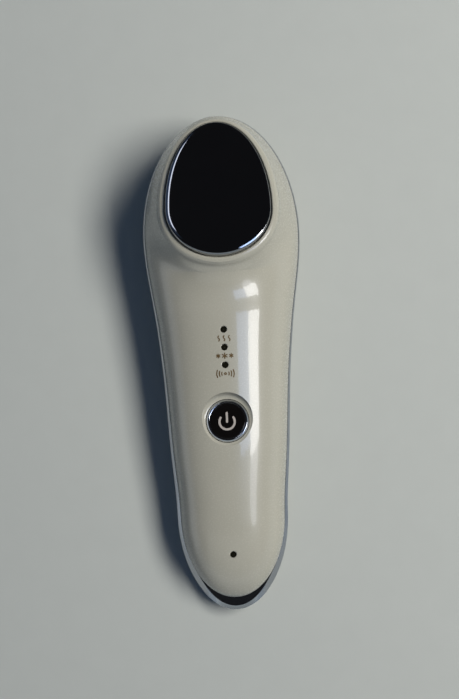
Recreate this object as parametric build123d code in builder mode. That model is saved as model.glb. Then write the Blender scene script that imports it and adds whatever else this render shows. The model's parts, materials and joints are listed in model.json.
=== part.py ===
from build123d import *

import os
from math import cos, pi, radians, sin, sqrt

# Hot and cold facial massager, all sizes in millimetres.
# It lies on its back: +X to its right, +Y towards the head, +Z out of the front face.
# The origin is under the middle of its length and width, on the surface it rests on.

# Outline seen from the front
overall_length = 166.0
head_width = 52.0
neck_width = 47.8
grip_width = 42.4
palm_width = 39.6
tail_width = 37.4
head_reach = 40.0  # from the head's widest line to its tip
tail_reach = 33.0  # from the tail's widest line to its tip
neck_share = 0.22  # places of the three widths along the flank, counted from the head
grip_share = 0.51
palm_share = 0.80

# Heights above the surface it rests on
seam_height = 11.5  # where the two casings part, at mid length
seam_slope = 0.07  # the parting plane rises towards the head
head_height = 34.0
neck_height = 32.7
lamp_height = 29.9
button_height = 28.0
palm_height = 26.3
tail_height = 24.4
tail_tip_height = 20.4  # where the crown line would pass the tail's tip
back_sink = 0.8  # how far the back's curve would pass below the rest face

# Roundness: the power of the ends' curves in side view, and the fullness of the cross sections
crown_peak_forward = 9.0  # the crown's peak lies this far beyond the head's widest line
front_head_power = 3.3
front_tail_power = 2.2
back_head_power = 2.6
back_tail_power = 2.4
tail_fullness = 0.68
grip_fullness = 0.70
head_fullness = 0.66
back_fullness = 0.78

# Casings
wall = 2.0
fit = 0.05  # gap between faces that are clamped together
side_step = 0.9  # how far the band stands out beyond the casings
head_step = 0.5
tail_step = 4.6
band_half = 2.2  # half the band's height
band_round = 1.4
lip_gap = 0.35  # between the band's lip and the inside of the casings
lip_thick = 1.0
lip_rise = 1.2
lip_end_gap = 1.6  # the lip stays further off at the two tips
lip_tail_end = 17.0  # the lip ends this far before the tail's tip, where the back rises

# Contact plate and its collar
plate_half_width = 16.7
plate_tip = 26.7  # from the plate's widest line towards the head's tip
plate_heel = 14.8
plate_forward = 7.0  # the plate's widest line lies this far beyond the head's
plate_top = 40.2
plate_skin = 1.8
plate_rim = 1.8
plate_round = 1.2
plate_gap = 0.3
ledge_width = 3.5
collar_top = 38.0
collar_width = 2.4
collar_round = 1.5
seat_depth = 2.0
gasket_thick = 0.5
gasket_inset = 0.4
gasket_width = 2.9
# Each step down the collar: drop below its top, then growth at the sides, the heel and the tip
collar_flare = [
    (2.8, 2.5, 2.7, 2.5),
    (3.9, 2.8, 3.6, 2.7),
    (4.9, 3.3, 5.0, 2.9),
    (5.7, 3.8, 6.9, 3.1),
    (6.4, 4.2, 9.2, 3.3),
    (9.0, 5.0, 9.5, 3.9),
    (12.0, 5.6, 9.5, 4.4),
]

# Push button
button_to_tip = 100.4  # from the head's tip
ring_radius = 6.9
ring_sink = 0.05  # the ring's top lies this far under the cap's face
cap_radius = 5.8
cap_thick = 1.08
cap_gap = 0.1
dish_radius = 8.35
dish_depth = 1.2
button_gap = 0.2
cap_sink = 0.5  # the button's face lies this far under the casing's crown
button_travel = 0.5
ring_bore = 5.2
ring_round = 0.4  # width of its bevelled edge
flange_radius = 7.9
flange_thick = 0.6
flange_lift = 1.8  # from the board to the boss that stops the flange
button_boss_radius = 9.2
switch_side = 6.0
switch_height = 2.7
plunger_radius = 1.5
plunger_length = 2.35

# Mode lamps and charge lamp
lamp_radius = 1.0
lamp_gap = 0.05
lamp_sink = 0.35
lamp_pitch = 5.7
lamp_ahead = 18.2  # the nearest mode lamp lies this far ahead of the button
lamp_count = 3
charge_lamp_to_tip = 21.35  # from the tail's tip
led_length = 1.6
led_width = 0.8
led_height = 0.6
shield_height = 2.25
shield_width = 4.4
shield_bore = 1.3
guide_width = 3.6
guide_thick = 0.9
guide_end = 2.1  # the guide's bar runs on this far past its last lamp
rod_radius = 1.5
rod_gap = 0.3  # between its shoulder and the sloping inside of the casing

# Circuit board
board_width = 21.0
board_length = 46.0
board_round = 2.0
board_thick = 1.2
board_ahead = 35.4  # its head end lies this far ahead of the button
board_top = 22.6
board_post_x = 8.0
board_post_end = 4.0  # from the posts to the board's ends
board_post_radius = 1.9

# Cooler
module_side = 20.0
module_forward = 1.0  # beyond the cooler's middle
ceramic_thick = 0.7
pellet_height = 2.0
pellet_side = 2.2
pellet_pitch = 3.9
pellet_rows = 5
pad_thick = 0.4
cooler_forward = 10.0  # the cooler's middle lies this far beyond the head's widest line
sink_width = 26.0
sink_round = 1.5
sink_base = 2.5
sink_step = 5.4  # height of the block that reaches up to the module
fin_height = 6.6
fin_thick = 0.9
fin_pitch = 3.0
fin_count = 9
sink_ear_x = 15.2
sink_ear_radius = 1.8
sensor_radius = 0.9
sensor_length = 3.5
sensor_forward = 15.5  # beyond the cooler's middle
fan_side = 25.0
fan_round = 2.5
fan_thick = 7.0
fan_pitch = 20.0
fan_post_radius = 2.4
fan_duct_radius = 11.6
fan_disc_radius = 5.3
strut_thick = 1.0
strut_width = 1.6
strut_count = 3
stator_radius = 4.3
stator_height = 4.5
bush_radius = 1.7
fan_hub_radius = 5.8
fan_hub_wall = 0.8
fan_hub_height = 5.0
fan_axle_radius = 0.75
blade_count = 7
blade_thick = 0.6
blade_gap = 0.4
root_chord = 5.4
root_angle = 52.0
tip_chord = 6.2
tip_angle = 36.0

# Vibration motor
motor_radius = 3.5
motor_length = 16.5
motor_cap_length = 1.5
motor_shaft_radius = 0.5
weight_radius = 3.0
weight_length = 3.0
weight_gap = 0.8
weight_hub_radius = 1.2
boot_under = 1.5
boot_width = 10.0
boot_length = 12.0
boot_height = 6.0
rib_thick = 1.2
rib_height = 3.0

# Battery
battery_length = 42.0
battery_width = 24.0
battery_thick = 10.0
battery_round = 3.0
battery_to_tip = 34.0
tape_thick = 0.5
tape_width = 12.0
tape_margin = 3.0
battery_gap = 0.3
protection_width = 20.0
protection_depth = 4.0
protection_thick = 1.0

# Charge socket and its board
socket_width = 7.5
socket_height = 2.5
socket_length = 5.6
socket_wall = 0.3
socket_round = 0.6
socket_sink = 0.8
socket_gap = 0.25
tongue_width = 3.6
tongue_thick = 0.6
tongue_length = 4.2
charge_board_thick = 1.0
charge_board_under = 5.35
charge_board_width = 16.0
charge_board_neck = 10.4
charge_board_start = 3.6  # distances from the tail's tip
charge_board_shoulder = 15.0
charge_board_end = 25.0
notch_end = 6.6
charge_screw_x = 5.5
charge_screw_to_tip = 19.0
charge_boss_radius = 1.8
pocket_gap = 0.15

# Screws
screw_radius = 1.1
screw_length = 14.0
screw_head_radius = 2.0
screw_head_height = 1.6
screw_seat_head = 4.0  # heights of the seats under the heads
screw_seat_tail = 3.0
screw_head_x = 17.5
screw_tail_x = 11.0
screw_head_back = 7.0  # behind the head's widest line
screw_tail_back = 4.0  # behind the tail's widest line
post_radius = 2.6
seat_wall = 1.0
small_screw_radius = 0.7
small_head_radius = 1.4
small_head_height = 1.0
small_bite = 2.3  # how far a small screw reaches into its post
fan_bite = 4.0
screw_tip_gap = 0.3
bore_gap = 0.05  # round a shank or a shaft
head_gap = 0.2

# Vents in the back
vent_width = 1.6
vent_pitch = 3.2
vent_count = 7
vent_circle = 11.5

# Places along the length
head_tip_y = overall_length / 2
tail_tip_y = -overall_length / 2
head_wide_y = head_tip_y - head_reach
tail_wide_y = tail_tip_y + tail_reach
flank = head_wide_y - tail_wide_y
casing_head_y = head_tip_y - head_step
casing_tail_y = tail_tip_y + tail_step
button_y = head_tip_y - button_to_tip
lamp_ys = [button_y + lamp_ahead + i * lamp_pitch for i in range(lamp_count)]
lamps_middle = (lamp_ys[0] + lamp_ys[-1]) / 2
plate_y = head_wide_y + plate_forward
cooler_y = head_wide_y + cooler_forward
module_y = cooler_y + module_forward
module_ends = (module_y - module_side / 2, module_y + module_side / 2)
crown_peak_y = head_wide_y + crown_peak_forward
charge_lamp_y = tail_tip_y + charge_lamp_to_tip
board_head_y = button_y + board_ahead
board_tail_y = board_head_y - board_length
battery_tail_y = tail_tip_y + battery_to_tip
battery_head_y = battery_tail_y + battery_length
motor_room = (battery_head_y + protection_depth, cooler_y - fan_side / 2)  # the motor lies in the middle of it
motor_face_y = (sum(motor_room) + motor_length - weight_gap - weight_length) / 2
socket_mouth_y = tail_tip_y + socket_sink
socket_back_y = socket_mouth_y + socket_length

# Heights of what is stacked inside
seam_gap = band_half + fit  # from the parting plane to each casing's edge
ledge_top = collar_top - seat_depth
plate_bottom = ledge_top + gasket_thick
module_top = plate_bottom - pad_thick
pellet_low = module_top - ceramic_thick - pellet_height
sink_top = pellet_low - ceramic_thick - pad_thick
sink_shoulder = sink_top - sink_step
sink_under = sink_shoulder - sink_base
fan_top = sink_under - fin_height - head_gap
fan_under = fan_top - fan_thick
strut_top = fan_under + strut_thick
button_top = button_height - cap_sink
ring_top = button_top - ring_sink
cap_under = button_top - cap_thick
dish_floor = button_height - dish_depth
boss_under = board_top + flange_lift
flange_top = boss_under - fit
switch_top = board_top + switch_height
board_under = board_top - board_thick
shield_top = board_top + fit + shield_height
motor_z = wall + boot_under + motor_radius
charge_board_top = charge_board_under + charge_board_thick
socket_z = charge_board_under + charge_board_thick / 2

# Places of screws and posts
board_posts = [(x, y) for x in (-board_post_x, board_post_x)
               for y in (board_head_y - board_post_end, board_tail_y + board_post_end)]
shell_posts = [(x, head_wide_y - screw_head_back, screw_seat_head) for x in (-screw_head_x, screw_head_x)]
shell_posts += [(x, tail_wide_y - screw_tail_back, screw_seat_tail) for x in (-screw_tail_x, screw_tail_x)]
sink_posts = [(x, cooler_y) for x in (-sink_ear_x, sink_ear_x)]
fan_offsets = (-fan_pitch / 2, fan_pitch / 2)
fan_posts = [(x, cooler_y + y) for x in fan_offsets for y in fan_offsets]
charge_posts = [(x, tail_tip_y + charge_screw_to_tip) for x in (-charge_screw_x, charge_screw_x)]

crown_line = [
    (tail_tip_y, tail_tip_height),
    (tail_wide_y, tail_height),
    ((tail_wide_y + button_y) / 2, palm_height),
    (button_y, button_height),
    (lamp_ys[0], lamp_height),
    ((lamp_ys[-1] + head_wide_y) / 2, neck_height),
    (crown_peak_y, head_height),
]
crown_fullness = [(tail_wide_y, tail_fullness), (button_y, grip_fullness), (head_wide_y, head_fullness)]
flank_widths = (head_width, neck_width, grip_width, palm_width, tail_width)
flank_shares = (0, neck_share, grip_share, palm_share, 1)
hollow_turns = (0.3, 0.55, 0.8)  # where the inside's flats meet along the arch


def seam(y):
    """Height of the parting plane at y."""
    return seam_height + seam_slope * y


def flank_points(inset, stretch=1.0):
    """Points of the right side between the two widest lines, moved in by inset."""
    return [(w / 2 - inset, (head_wide_y - s * flank) * stretch) for w, s in zip(flank_widths, flank_shares)]


def half_width(y, inset, head_inset, tail_inset):
    """Half the outline's width at y, moved in by inset at the sides and more at the tips."""
    if y >= head_wide_y:
        share = (y - head_wide_y) / (head_reach - head_inset)
        return (head_width / 2 - inset) * sqrt(max(0, 1 - share**2))
    if y <= tail_wide_y:
        share = (tail_wide_y - y) / (tail_reach - tail_inset)
        return (tail_width / 2 - inset) * sqrt(max(0, 1 - share**2))
    side = Spline(*flank_points(inset), tangents=[(0, -1), (0, -1)])
    near, far = 0.0, 1.0
    for _ in range(20):
        middle = (near + far) / 2
        if (side @ middle).Y > y:
            near = middle
        else:
            far = middle
    return (side @ near).X


def along(stations, y):
    """Smooth curve through (y, value) stations, level beyond them."""
    ys = [s[0] for s in stations]
    values = [s[1] for s in stations]
    if y <= ys[0]:
        return values[0]
    if y >= ys[-1]:
        return values[-1]
    last = len(ys) - 1
    slopes = [(values[1] - values[0]) / (ys[1] - ys[0])]
    slopes += [(values[i + 1] - values[i - 1]) / (ys[i + 1] - ys[i - 1]) for i in range(1, last)]
    slopes += [0.0]
    i = max(k for k in range(last) if ys[k] <= y)
    span = ys[i + 1] - ys[i]
    t = (y - ys[i]) / span
    return (
        (1 + 2 * t) * (1 - t) ** 2 * values[i]
        + t * (1 - t) ** 2 * span * slopes[i]
        + t**2 * (3 - 2 * t) * values[i + 1]
        + t**2 * (t - 1) * span * slopes[i + 1]
    )


def taper(y, head_start, head_end, head_power, tail_end, tail_power):
    """1 along the middle, falling to 0 at both tips along rounded ends."""
    if y > head_start:
        return max(0, 1 - ((y - head_start) / (head_end - head_start)) ** head_power) ** (1 / head_power)
    if y < tail_wide_y:
        return max(0, 1 - ((y - tail_wide_y) / (tail_end - tail_wide_y)) ** tail_power) ** (1 / tail_power)
    return 1.0


def quarter_arch(t, fullness):
    """Point of a quarter arch of unit size, upright at its foot and level at its top."""
    x = (1 - t) ** 3 + 3 * t * (1 - t) ** 2 + 3 * t**2 * (1 - t) * fullness
    z = 3 * t * (1 - t) ** 2 * fullness + 3 * t**2 * (1 - t) + t**3
    return x, z


def front_rise(y, inset):
    """Height of the front casing above its own edge on the centre line, inset from the outside."""
    peak = along(crown_line, y) - inset
    head_end, tail_end = casing_head_y - inset, casing_tail_y + inset
    end = taper(y, crown_peak_y, head_end, front_head_power, tail_end, front_tail_power)
    return (peak - seam(y) - seam_gap) * end


def back_drop(y):
    """Depth of the rear casing's curve below its own edge on the centre line."""
    end = taper(y, head_wide_y, casing_head_y, back_head_power, casing_tail_y, back_tail_power)
    return (seam(y) - seam_gap + back_sink) * end


def front_surface(y):
    """Height of the front casing's crown on the centre line."""
    return seam(y) + seam_gap + front_rise(y, 0)


def ceiling(y):
    """Height of the flat inside top of the front casing at y."""
    flat = quarter_arch(hollow_turns[-1], along(crown_fullness, y))[1]
    return seam(y) + seam_gap + front_rise(y, wall) * flat


def arch_section(y, base, rise, fullness):
    """Face across a casing: a straight foot at base and a full arch rising (or hanging) from it."""
    half = half_width(y, side_step, head_step, tail_step)
    top = base + rise
    shoulder = base + fullness * rise
    with BuildSketch(Plane.XZ.offset(-y)) as section:
        with BuildLine():
            Bezier((half, base), (half, shoulder), (fullness * half, top), (0, top))
            Bezier((0, top), (-fullness * half, top), (-half, shoulder), (-half, base))
            Line((-half, base), (half, base))
        make_face()
    return section.sketch


def hollow_section(y, base, rise, fullness):
    """Face across the inside: upright foot with room for the lip, flats up each side, and a flat top."""
    half = half_width(y, side_step + wall, head_step + wall, tail_step + wall)
    sense = 1 if rise > 0 else -1
    side = [(half, base - sense), (half, base + sense * (lip_rise + lip_gap))]
    side += [(half * x, base + rise * z) for x, z in (quarter_arch(t, fullness) for t in hollow_turns)]
    with BuildSketch(Plane.XZ.offset(-y)) as section:
        with BuildLine():
            Polyline(*side, *[(-x, z) for x, z in reversed(side)], close=True)
        make_face()
    return section.sketch


def front_section(y):
    return arch_section(y, seam(y) + seam_gap, front_rise(y, 0), along(crown_fullness, y))


def front_hollow_section(y):
    return hollow_section(y, seam(y) + seam_gap, front_rise(y, wall), along(crown_fullness, y))


def rear_section(y):
    return arch_section(y, seam(y) - seam_gap, -back_drop(y), back_fullness)


def rear_hollow_section(y):
    base = seam(y) - seam_gap
    floor = max(wall, base - back_drop(y) + wall)
    flat = quarter_arch(hollow_turns[-1], back_fullness)[1]
    return hollow_section(y, base, (floor - base) / flat, back_fullness)


def stations(head_end, tail_end, angles, steps):
    """Places of the sections, closer together where the ends curve in."""
    tail = [tail_wide_y + (tail_end - tail_wide_y) * sin(radians(a)) for a in reversed(angles)]
    head = [head_wide_y + (head_end - head_wide_y) * sin(radians(a)) for a in angles]
    return tail + [tail_wide_y + flank * i / steps for i in range(steps + 1)] + head


def loft_through(section, ys):
    """Solid through the sections at all ys."""
    with BuildPart() as body:
        loft(sections=[section(y) for y in ys], ruled=True)
    return body.part


def rounding(radius, steps):
    """Points (inset, drop) down a quarter round, from the flat top to the upright side."""
    turns = [pi / 2 * i / steps for i in range(steps + 1)]
    return [(radius * (1 - sin(a)), radius * (1 - cos(a))) for a in turns]


def outline_edges(inset, head_inset, tail_inset, stretch=1.0):
    """Edges of the outline, moved in by the three insets, for use inside a BuildLine.

    Stretch lengthens it along Y, for a sketch on the sloping parting plane."""
    side = Spline(*flank_points(inset, stretch), tangents=[(0, -1), (0, -1)])
    mirror(side, about=Plane.YZ)
    head = (head_width / 2 - inset, (head_reach - head_inset) * stretch)
    tail = (tail_width / 2 - inset, (tail_reach - tail_inset) * stretch)
    EllipticalCenterArc((0, head_wide_y * stretch), *head, 0, arc_size=180)
    EllipticalCenterArc((0, tail_wide_y * stretch), *tail, 180, arc_size=180)


def outline_prism(inset, head_inset, tail_inset):
    """Upright prism over the outline, higher than anything it is cut from."""
    with BuildPart() as prism:
        with BuildSketch(Plane.XY):
            with BuildLine():
                outline_edges(inset, head_inset, tail_inset)
            make_face()
        extrude(amount=head_height)
    return prism.part


def seam_slab(half_height):
    """Slab along the parting plane."""
    ends = (-overall_length, overall_length)
    low = [(y, seam(y) - half_height) for y in ends]
    high = [(y, seam(y) + half_height) for y in reversed(ends)]
    with BuildPart() as slab:
        with BuildSketch(Plane.YZ):
            with BuildLine():
                Polyline(*low, *high, close=True)
            make_face()
        extrude(amount=head_width, both=True)
    return slab.part


def egg_edges(side_grow, heel_grow, tip_grow):
    """The contact plate's outline, grown outwards, for use inside a BuildLine."""
    half = plate_half_width + side_grow
    EllipticalCenterArc((0, plate_y), half, plate_tip + tip_grow, 0, arc_size=180)
    EllipticalCenterArc((0, plate_y), half, plate_heel + heel_grow, 180, arc_size=180)


def egg_prism(grow, low, high):
    """Upright prism over the contact plate's outline, grown all round."""
    with BuildPart() as prism:
        with BuildSketch(Plane.XY.offset(low)):
            with BuildLine():
                egg_edges(grow, grow, grow)
            make_face()
        extrude(amount=high - low)
    return prism.part


def columns(places, radius, low, high):
    """Upright round columns at (x, y) places."""
    with BuildPart() as batch:
        with BuildSketch(Plane.XY.offset(low)):
            with Locations(*places):
                Circle(radius)
        extrude(amount=high - low)
    return batch.part


def block(width, tail_end, head_end, low, high):
    """Upright block, centred across, between two places along the length."""
    with BuildPart() as piece:
        with BuildSketch(Plane.XY.offset(low)):
            with Locations((0, (tail_end + head_end) / 2)):
                Rectangle(width, head_end - tail_end)
        extrude(amount=high - low)
    return piece.part


def screws(places, radius, length, head_radius, head_height):
    """Screws at (x, y, height of the seat); a negative length points down."""
    sense = 1 if length > 0 else -1
    with BuildPart() as batch:
        for x, y, seat in places:
            with BuildSketch(Plane.XY.offset(seat)):
                with Locations((x, y)):
                    Circle(head_radius)
            extrude(amount=-sense * head_height)
            with BuildSketch(Plane.XY.offset(seat)):
                with Locations((x, y)):
                    Circle(radius)
            extrude(amount=length)
    return batch


casing_ys = stations(casing_head_y, casing_tail_y, (12, 24, 36, 47, 57, 66, 74, 81, 87), 20)
hollow_ys = stations(casing_head_y - wall, casing_tail_y + wall, (14, 28, 42, 55, 67, 79), 8)
small_bore = small_screw_radius + bore_gap
small_head = (small_head_radius, small_head_height)

os.makedirs("parts", exist_ok=True)

# Front casing: outer form, flared collar, hollow inside, posts and openings
front_body = loft_through(front_section, casing_ys)

with BuildPart() as collar:
    rim = [(collar_top - drop, *[collar_width - inset] * 3) for inset, drop in rounding(collar_round, 4)]
    flare = [(collar_top - drop, *grows) for drop, *grows in collar_flare]
    for height, *grows in reversed(rim + flare):
        with BuildSketch(Plane.XY.offset(height)):
            with BuildLine():
                egg_edges(*grows)
            make_face()
    loft(ruled=True)

with BuildPart() as front_posts:
    for x, y, seat in shell_posts:
        add(columns([(x, y)], post_radius, seam(y), head_height))
    add(columns(sink_posts, sink_ear_radius, sink_shoulder + fit, head_height))
    add(columns(board_posts, board_post_radius, board_top + fit, head_height))
    add(columns([(0, button_y)], button_boss_radius, boss_under, head_height))
    add(front_body, mode=Mode.INTERSECT)

with BuildPart() as front_shell:
    add(front_body)
    add(collar.part)
    add(loft_through(front_hollow_section, hollow_ys), mode=Mode.SUBTRACT)
    add(front_posts.part)
    add(egg_prism(-ledge_width, sink_shoulder, collar_top), mode=Mode.SUBTRACT)
    add(egg_prism(plate_gap, ledge_top, collar_top + fit), mode=Mode.SUBTRACT)
    add(columns([(0, button_y)], dish_radius, dish_floor, head_height), mode=Mode.SUBTRACT)
    add(columns([(0, button_y)], ring_radius + button_gap, board_top, head_height), mode=Mode.SUBTRACT)
    lamp_places = [(0, y) for y in [charge_lamp_y, *lamp_ys]]
    add(columns(lamp_places, lamp_radius + lamp_gap, seam_height, head_height), mode=Mode.SUBTRACT)
    for x, y, seat in shell_posts:
        tip = seat + screw_length + screw_tip_gap
        add(columns([(x, y)], screw_radius + bore_gap, seam(y), tip), mode=Mode.SUBTRACT)
    sink_tip = sink_shoulder + small_bite + screw_tip_gap
    add(columns(sink_posts, small_bore, sink_shoulder, sink_tip), mode=Mode.SUBTRACT)
    board_tip = board_top + small_bite + screw_tip_gap
    add(columns(board_posts, small_bore, board_top, board_tip), mode=Mode.SUBTRACT)
front_shell.part.label = "front_shell"
export_step(front_shell.part, "parts/front_shell.step")

# Rear casing: outer form cut flat to rest on, hollow inside, screw tubes, cradles and vents
rear_body = loft_through(rear_section, casing_ys)

with BuildPart() as rear_inside:
    for x, y, seat in shell_posts:
        add(columns([(x, y)], post_radius, 0, seam(y) - seam_gap))
        add(columns([(x, y)], screw_head_radius + head_gap + seat_wall, 0, seat + seat_wall))
    add(columns(charge_posts, charge_boss_radius, 0, charge_board_under - fit))
    stops = [battery_tail_y - battery_gap - rib_thick, battery_head_y + protection_depth + battery_gap]
    for y in stops:
        add(block(tape_width, y, y + rib_thick, wall / 2, wall + rib_height))
    boot_tail_y = motor_face_y - motor_length / 2 - boot_length / 2
    boot_room = boot_width + 2 * fit
    boot_ends = (boot_tail_y, boot_tail_y + boot_length)
    add(block(boot_room + 2 * rib_thick, *boot_ends, wall / 2, wall + rib_height))
    add(block(boot_room, *boot_ends, wall, wall + rib_height), mode=Mode.SUBTRACT)
    add(rear_body, mode=Mode.INTERSECT)

with BuildPart() as rear_shell:
    add(rear_body)
    add(loft_through(rear_hollow_section, hollow_ys), mode=Mode.SUBTRACT)
    add(rear_inside.part)
    split(bisect_by=Plane.XY, keep=Keep.TOP)
    for x, y, seat in shell_posts:
        add(columns([(x, y)], screw_head_radius + head_gap, 0, seat), mode=Mode.SUBTRACT)
        add(columns([(x, y)], screw_radius + bore_gap, 0, seam(y)), mode=Mode.SUBTRACT)
    add(columns(charge_posts, small_bore, charge_board_under - small_bite - screw_tip_gap, seam_height),
        mode=Mode.SUBTRACT)
    with BuildSketch(Plane.XY):
        for i in range(vent_count):
            x = (i - (vent_count - 1) / 2) * vent_pitch
            with Locations((x, cooler_y)):
                SlotOverall(2 * sqrt(vent_circle**2 - x**2), vent_width, rotation=90)
    extrude(amount=2 * wall, mode=Mode.SUBTRACT)
rear_shell.part.label = "rear_shell"
export_step(rear_shell.part, "parts/rear_shell.step")

# Side band between the casings, with a lip that locates both and a window for the charge socket
slant = sqrt(1 + seam_slope**2)
band_levels = [(inset, band_half - drop) for inset, drop in rounding(band_round, 3)]
band_levels += [(inset, -height) for inset, height in reversed(band_levels)]
lip_inset = side_step + wall + lip_gap
lip_tips = (head_step + wall + lip_gap + lip_end_gap, tail_step + wall + lip_gap + lip_end_gap)

with BuildPart() as lip:
    add(outline_prism(lip_inset, *lip_tips))
    add(seam_slab(band_half + lip_rise), mode=Mode.INTERSECT)
    split(bisect_by=Plane.XZ.offset(-tail_tip_y - lip_tail_end), keep=Keep.BOTTOM)

with BuildPart() as side_band:
    for inset, height in band_levels:
        plane = Plane(origin=(0, 0, seam_height + height * slant), x_dir=(1, 0, 0), z_dir=(0, -seam_slope, 1))
        with BuildSketch(plane):
            with BuildLine():
                outline_edges(inset, inset, inset, slant)
            make_face()
    loft(ruled=True)
    add(lip.part)
    add(outline_prism(lip_inset + lip_thick, *[tip + lip_thick for tip in lip_tips]), mode=Mode.SUBTRACT)
    inner_y = tail_tip_y + charge_board_shoulder
    window = socket_height / 2 + socket_gap
    add(block(socket_width + 2 * socket_gap, 2 * tail_tip_y, inner_y, socket_z - window, socket_z + window),
        mode=Mode.SUBTRACT)
    add(block(charge_board_neck + 2 * pocket_gap, tail_tip_y + charge_board_start - pocket_gap, inner_y,
              charge_board_under - pocket_gap, charge_board_top + pocket_gap), mode=Mode.SUBTRACT)
side_band.part.label = "side_band"
export_step(side_band.part, "parts/side_band.step")

# Contact plate: rounded egg, hollowed from below to its skin, with a block that meets the module
with BuildPart() as contact_plate:
    edge = [(plate_top - drop, -inset) for inset, drop in rounding(plate_round, 4)]
    for height, grow in [(plate_bottom, 0.0), *reversed(edge)]:
        with BuildSketch(Plane.XY.offset(height)):
            with BuildLine():
                egg_edges(grow, grow, grow)
            make_face()
    loft(ruled=True)
    add(egg_prism(-plate_rim, plate_bottom, plate_top - plate_skin), mode=Mode.SUBTRACT)
    add(block(module_side, *module_ends, plate_bottom, plate_top - plate_skin))
contact_plate.part.label = "contact_plate"
export_step(contact_plate.part, "parts/contact_plate.step")

with BuildPart() as plate_gasket:
    add(egg_prism(-gasket_inset, ledge_top, plate_bottom))
    add(egg_prism(-gasket_inset - gasket_width, ledge_top, plate_bottom), mode=Mode.SUBTRACT)
plate_gasket.part.label = "plate_gasket"
export_step(plate_gasket.part, "parts/plate_gasket.step")


# Cooler: pads, ceramic plates and pellets, stacked under the contact plate
def module_layers(lows, thick):
    """Square layers of the module at the given heights."""
    with BuildPart() as layers:
        for low in lows:
            with BuildSketch(Plane.XY.offset(low)):
                with Locations((0, module_y)):
                    Rectangle(module_side, module_side)
            extrude(amount=thick)
    return layers


thermal_pads = module_layers([sink_top, module_top], pad_thick)
thermal_pads.part.label = "thermal_pads"
export_step(thermal_pads.part, "parts/thermal_pads.step")

module_ceramics = module_layers([pellet_low - ceramic_thick, pellet_low + pellet_height], ceramic_thick)
module_ceramics.part.label = "module_ceramics"
export_step(module_ceramics.part, "parts/module_ceramics.step")

with BuildPart() as module_pellets:
    with BuildSketch(Plane.XY.offset(pellet_low)):
        with Locations((0, module_y)):
            with GridLocations(pellet_pitch, pellet_pitch, pellet_rows, pellet_rows):
                Rectangle(pellet_side, pellet_side)
    extrude(amount=pellet_height)
module_pellets.part.label = "module_pellets"
export_step(module_pellets.part, "parts/module_pellets.step")

with BuildPart() as temperature_sensor:
    sensor_z = plate_top - plate_skin - fit - sensor_radius
    with BuildSketch(Plane.YZ):
        with Locations((cooler_y + sensor_forward, sensor_z)):
            Circle(sensor_radius)
    extrude(amount=sensor_length / 2, both=True)
temperature_sensor.part.label = "temperature_sensor"
export_step(temperature_sensor.part, "parts/temperature_sensor.step")

with BuildPart() as heat_sink:
    with BuildSketch(Plane.XY.offset(sink_under)):
        with Locations((0, cooler_y)):
            RectangleRounded(sink_width, sink_width, sink_round)
            Rectangle(2 * sink_ear_x, 2 * sink_ear_radius)
        with Locations(*sink_posts):
            Circle(sink_ear_radius)
            Circle(small_bore, mode=Mode.SUBTRACT)
    extrude(amount=sink_base)
    add(block(module_side, *module_ends, sink_shoulder, sink_top))
    with BuildSketch(Plane.XY.offset(sink_under)):
        with Locations((0, cooler_y)):
            with GridLocations(fin_pitch, 0, fin_count, 1):
                Rectangle(fin_thick, sink_width)
    extrude(amount=-fin_height)
    add(columns(fan_posts, fan_post_radius, fan_top + fit, sink_under))
    add(columns(fan_posts, small_bore, fan_top, fan_top + fan_bite + screw_tip_gap), mode=Mode.SUBTRACT)
heat_sink.part.label = "heat_sink"
export_step(heat_sink.part, "parts/heat_sink.step")

sink_seats = [(x, y, sink_under) for x, y in sink_posts]
heat_sink_screws = screws(sink_seats, small_screw_radius, sink_base + small_bite, *small_head)
heat_sink_screws.part.label = "heat_sink_screws"
export_step(heat_sink_screws.part, "parts/heat_sink_screws.step")

# Fan under the heat sink: frame with a hub on struts, stator and bush on the hub, and the impeller
with BuildPart() as fan_frame:
    with BuildSketch(Plane.XY.offset(fan_under)):
        with Locations((0, cooler_y)):
            RectangleRounded(fan_side, fan_side, fan_round)
            Circle(fan_duct_radius, mode=Mode.SUBTRACT)
            with GridLocations(fan_pitch, fan_pitch, 2, 2):
                Circle(small_bore, mode=Mode.SUBTRACT)
    extrude(amount=fan_thick)
    with BuildSketch(Plane.XY.offset(fan_under)):
        with Locations((0, cooler_y)):
            Circle(fan_disc_radius)
            with PolarLocations((fan_disc_radius + fan_duct_radius) / 2, strut_count):
                Rectangle(fan_duct_radius - fan_disc_radius + strut_thick, strut_width)
    extrude(amount=strut_thick)
fan_frame.part.label = "fan_frame"
export_step(fan_frame.part, "parts/fan_frame.step")

with BuildPart() as fan_stator:
    add(columns([(0, cooler_y)], stator_radius, strut_top, strut_top + stator_height))
    add(columns([(0, cooler_y)], bush_radius, strut_top, strut_top + stator_height), mode=Mode.SUBTRACT)
fan_stator.part.label = "fan_stator"
export_step(fan_stator.part, "parts/fan_stator.step")

with BuildPart() as fan_bush:
    add(columns([(0, cooler_y)], bush_radius, strut_top, strut_top + stator_height))
    axle_room = fan_axle_radius + bore_gap
    add(columns([(0, cooler_y)], axle_room, strut_top, strut_top + stator_height), mode=Mode.SUBTRACT)
fan_bush.part.label = "fan_bush"
export_step(fan_bush.part, "parts/fan_bush.step")

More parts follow.
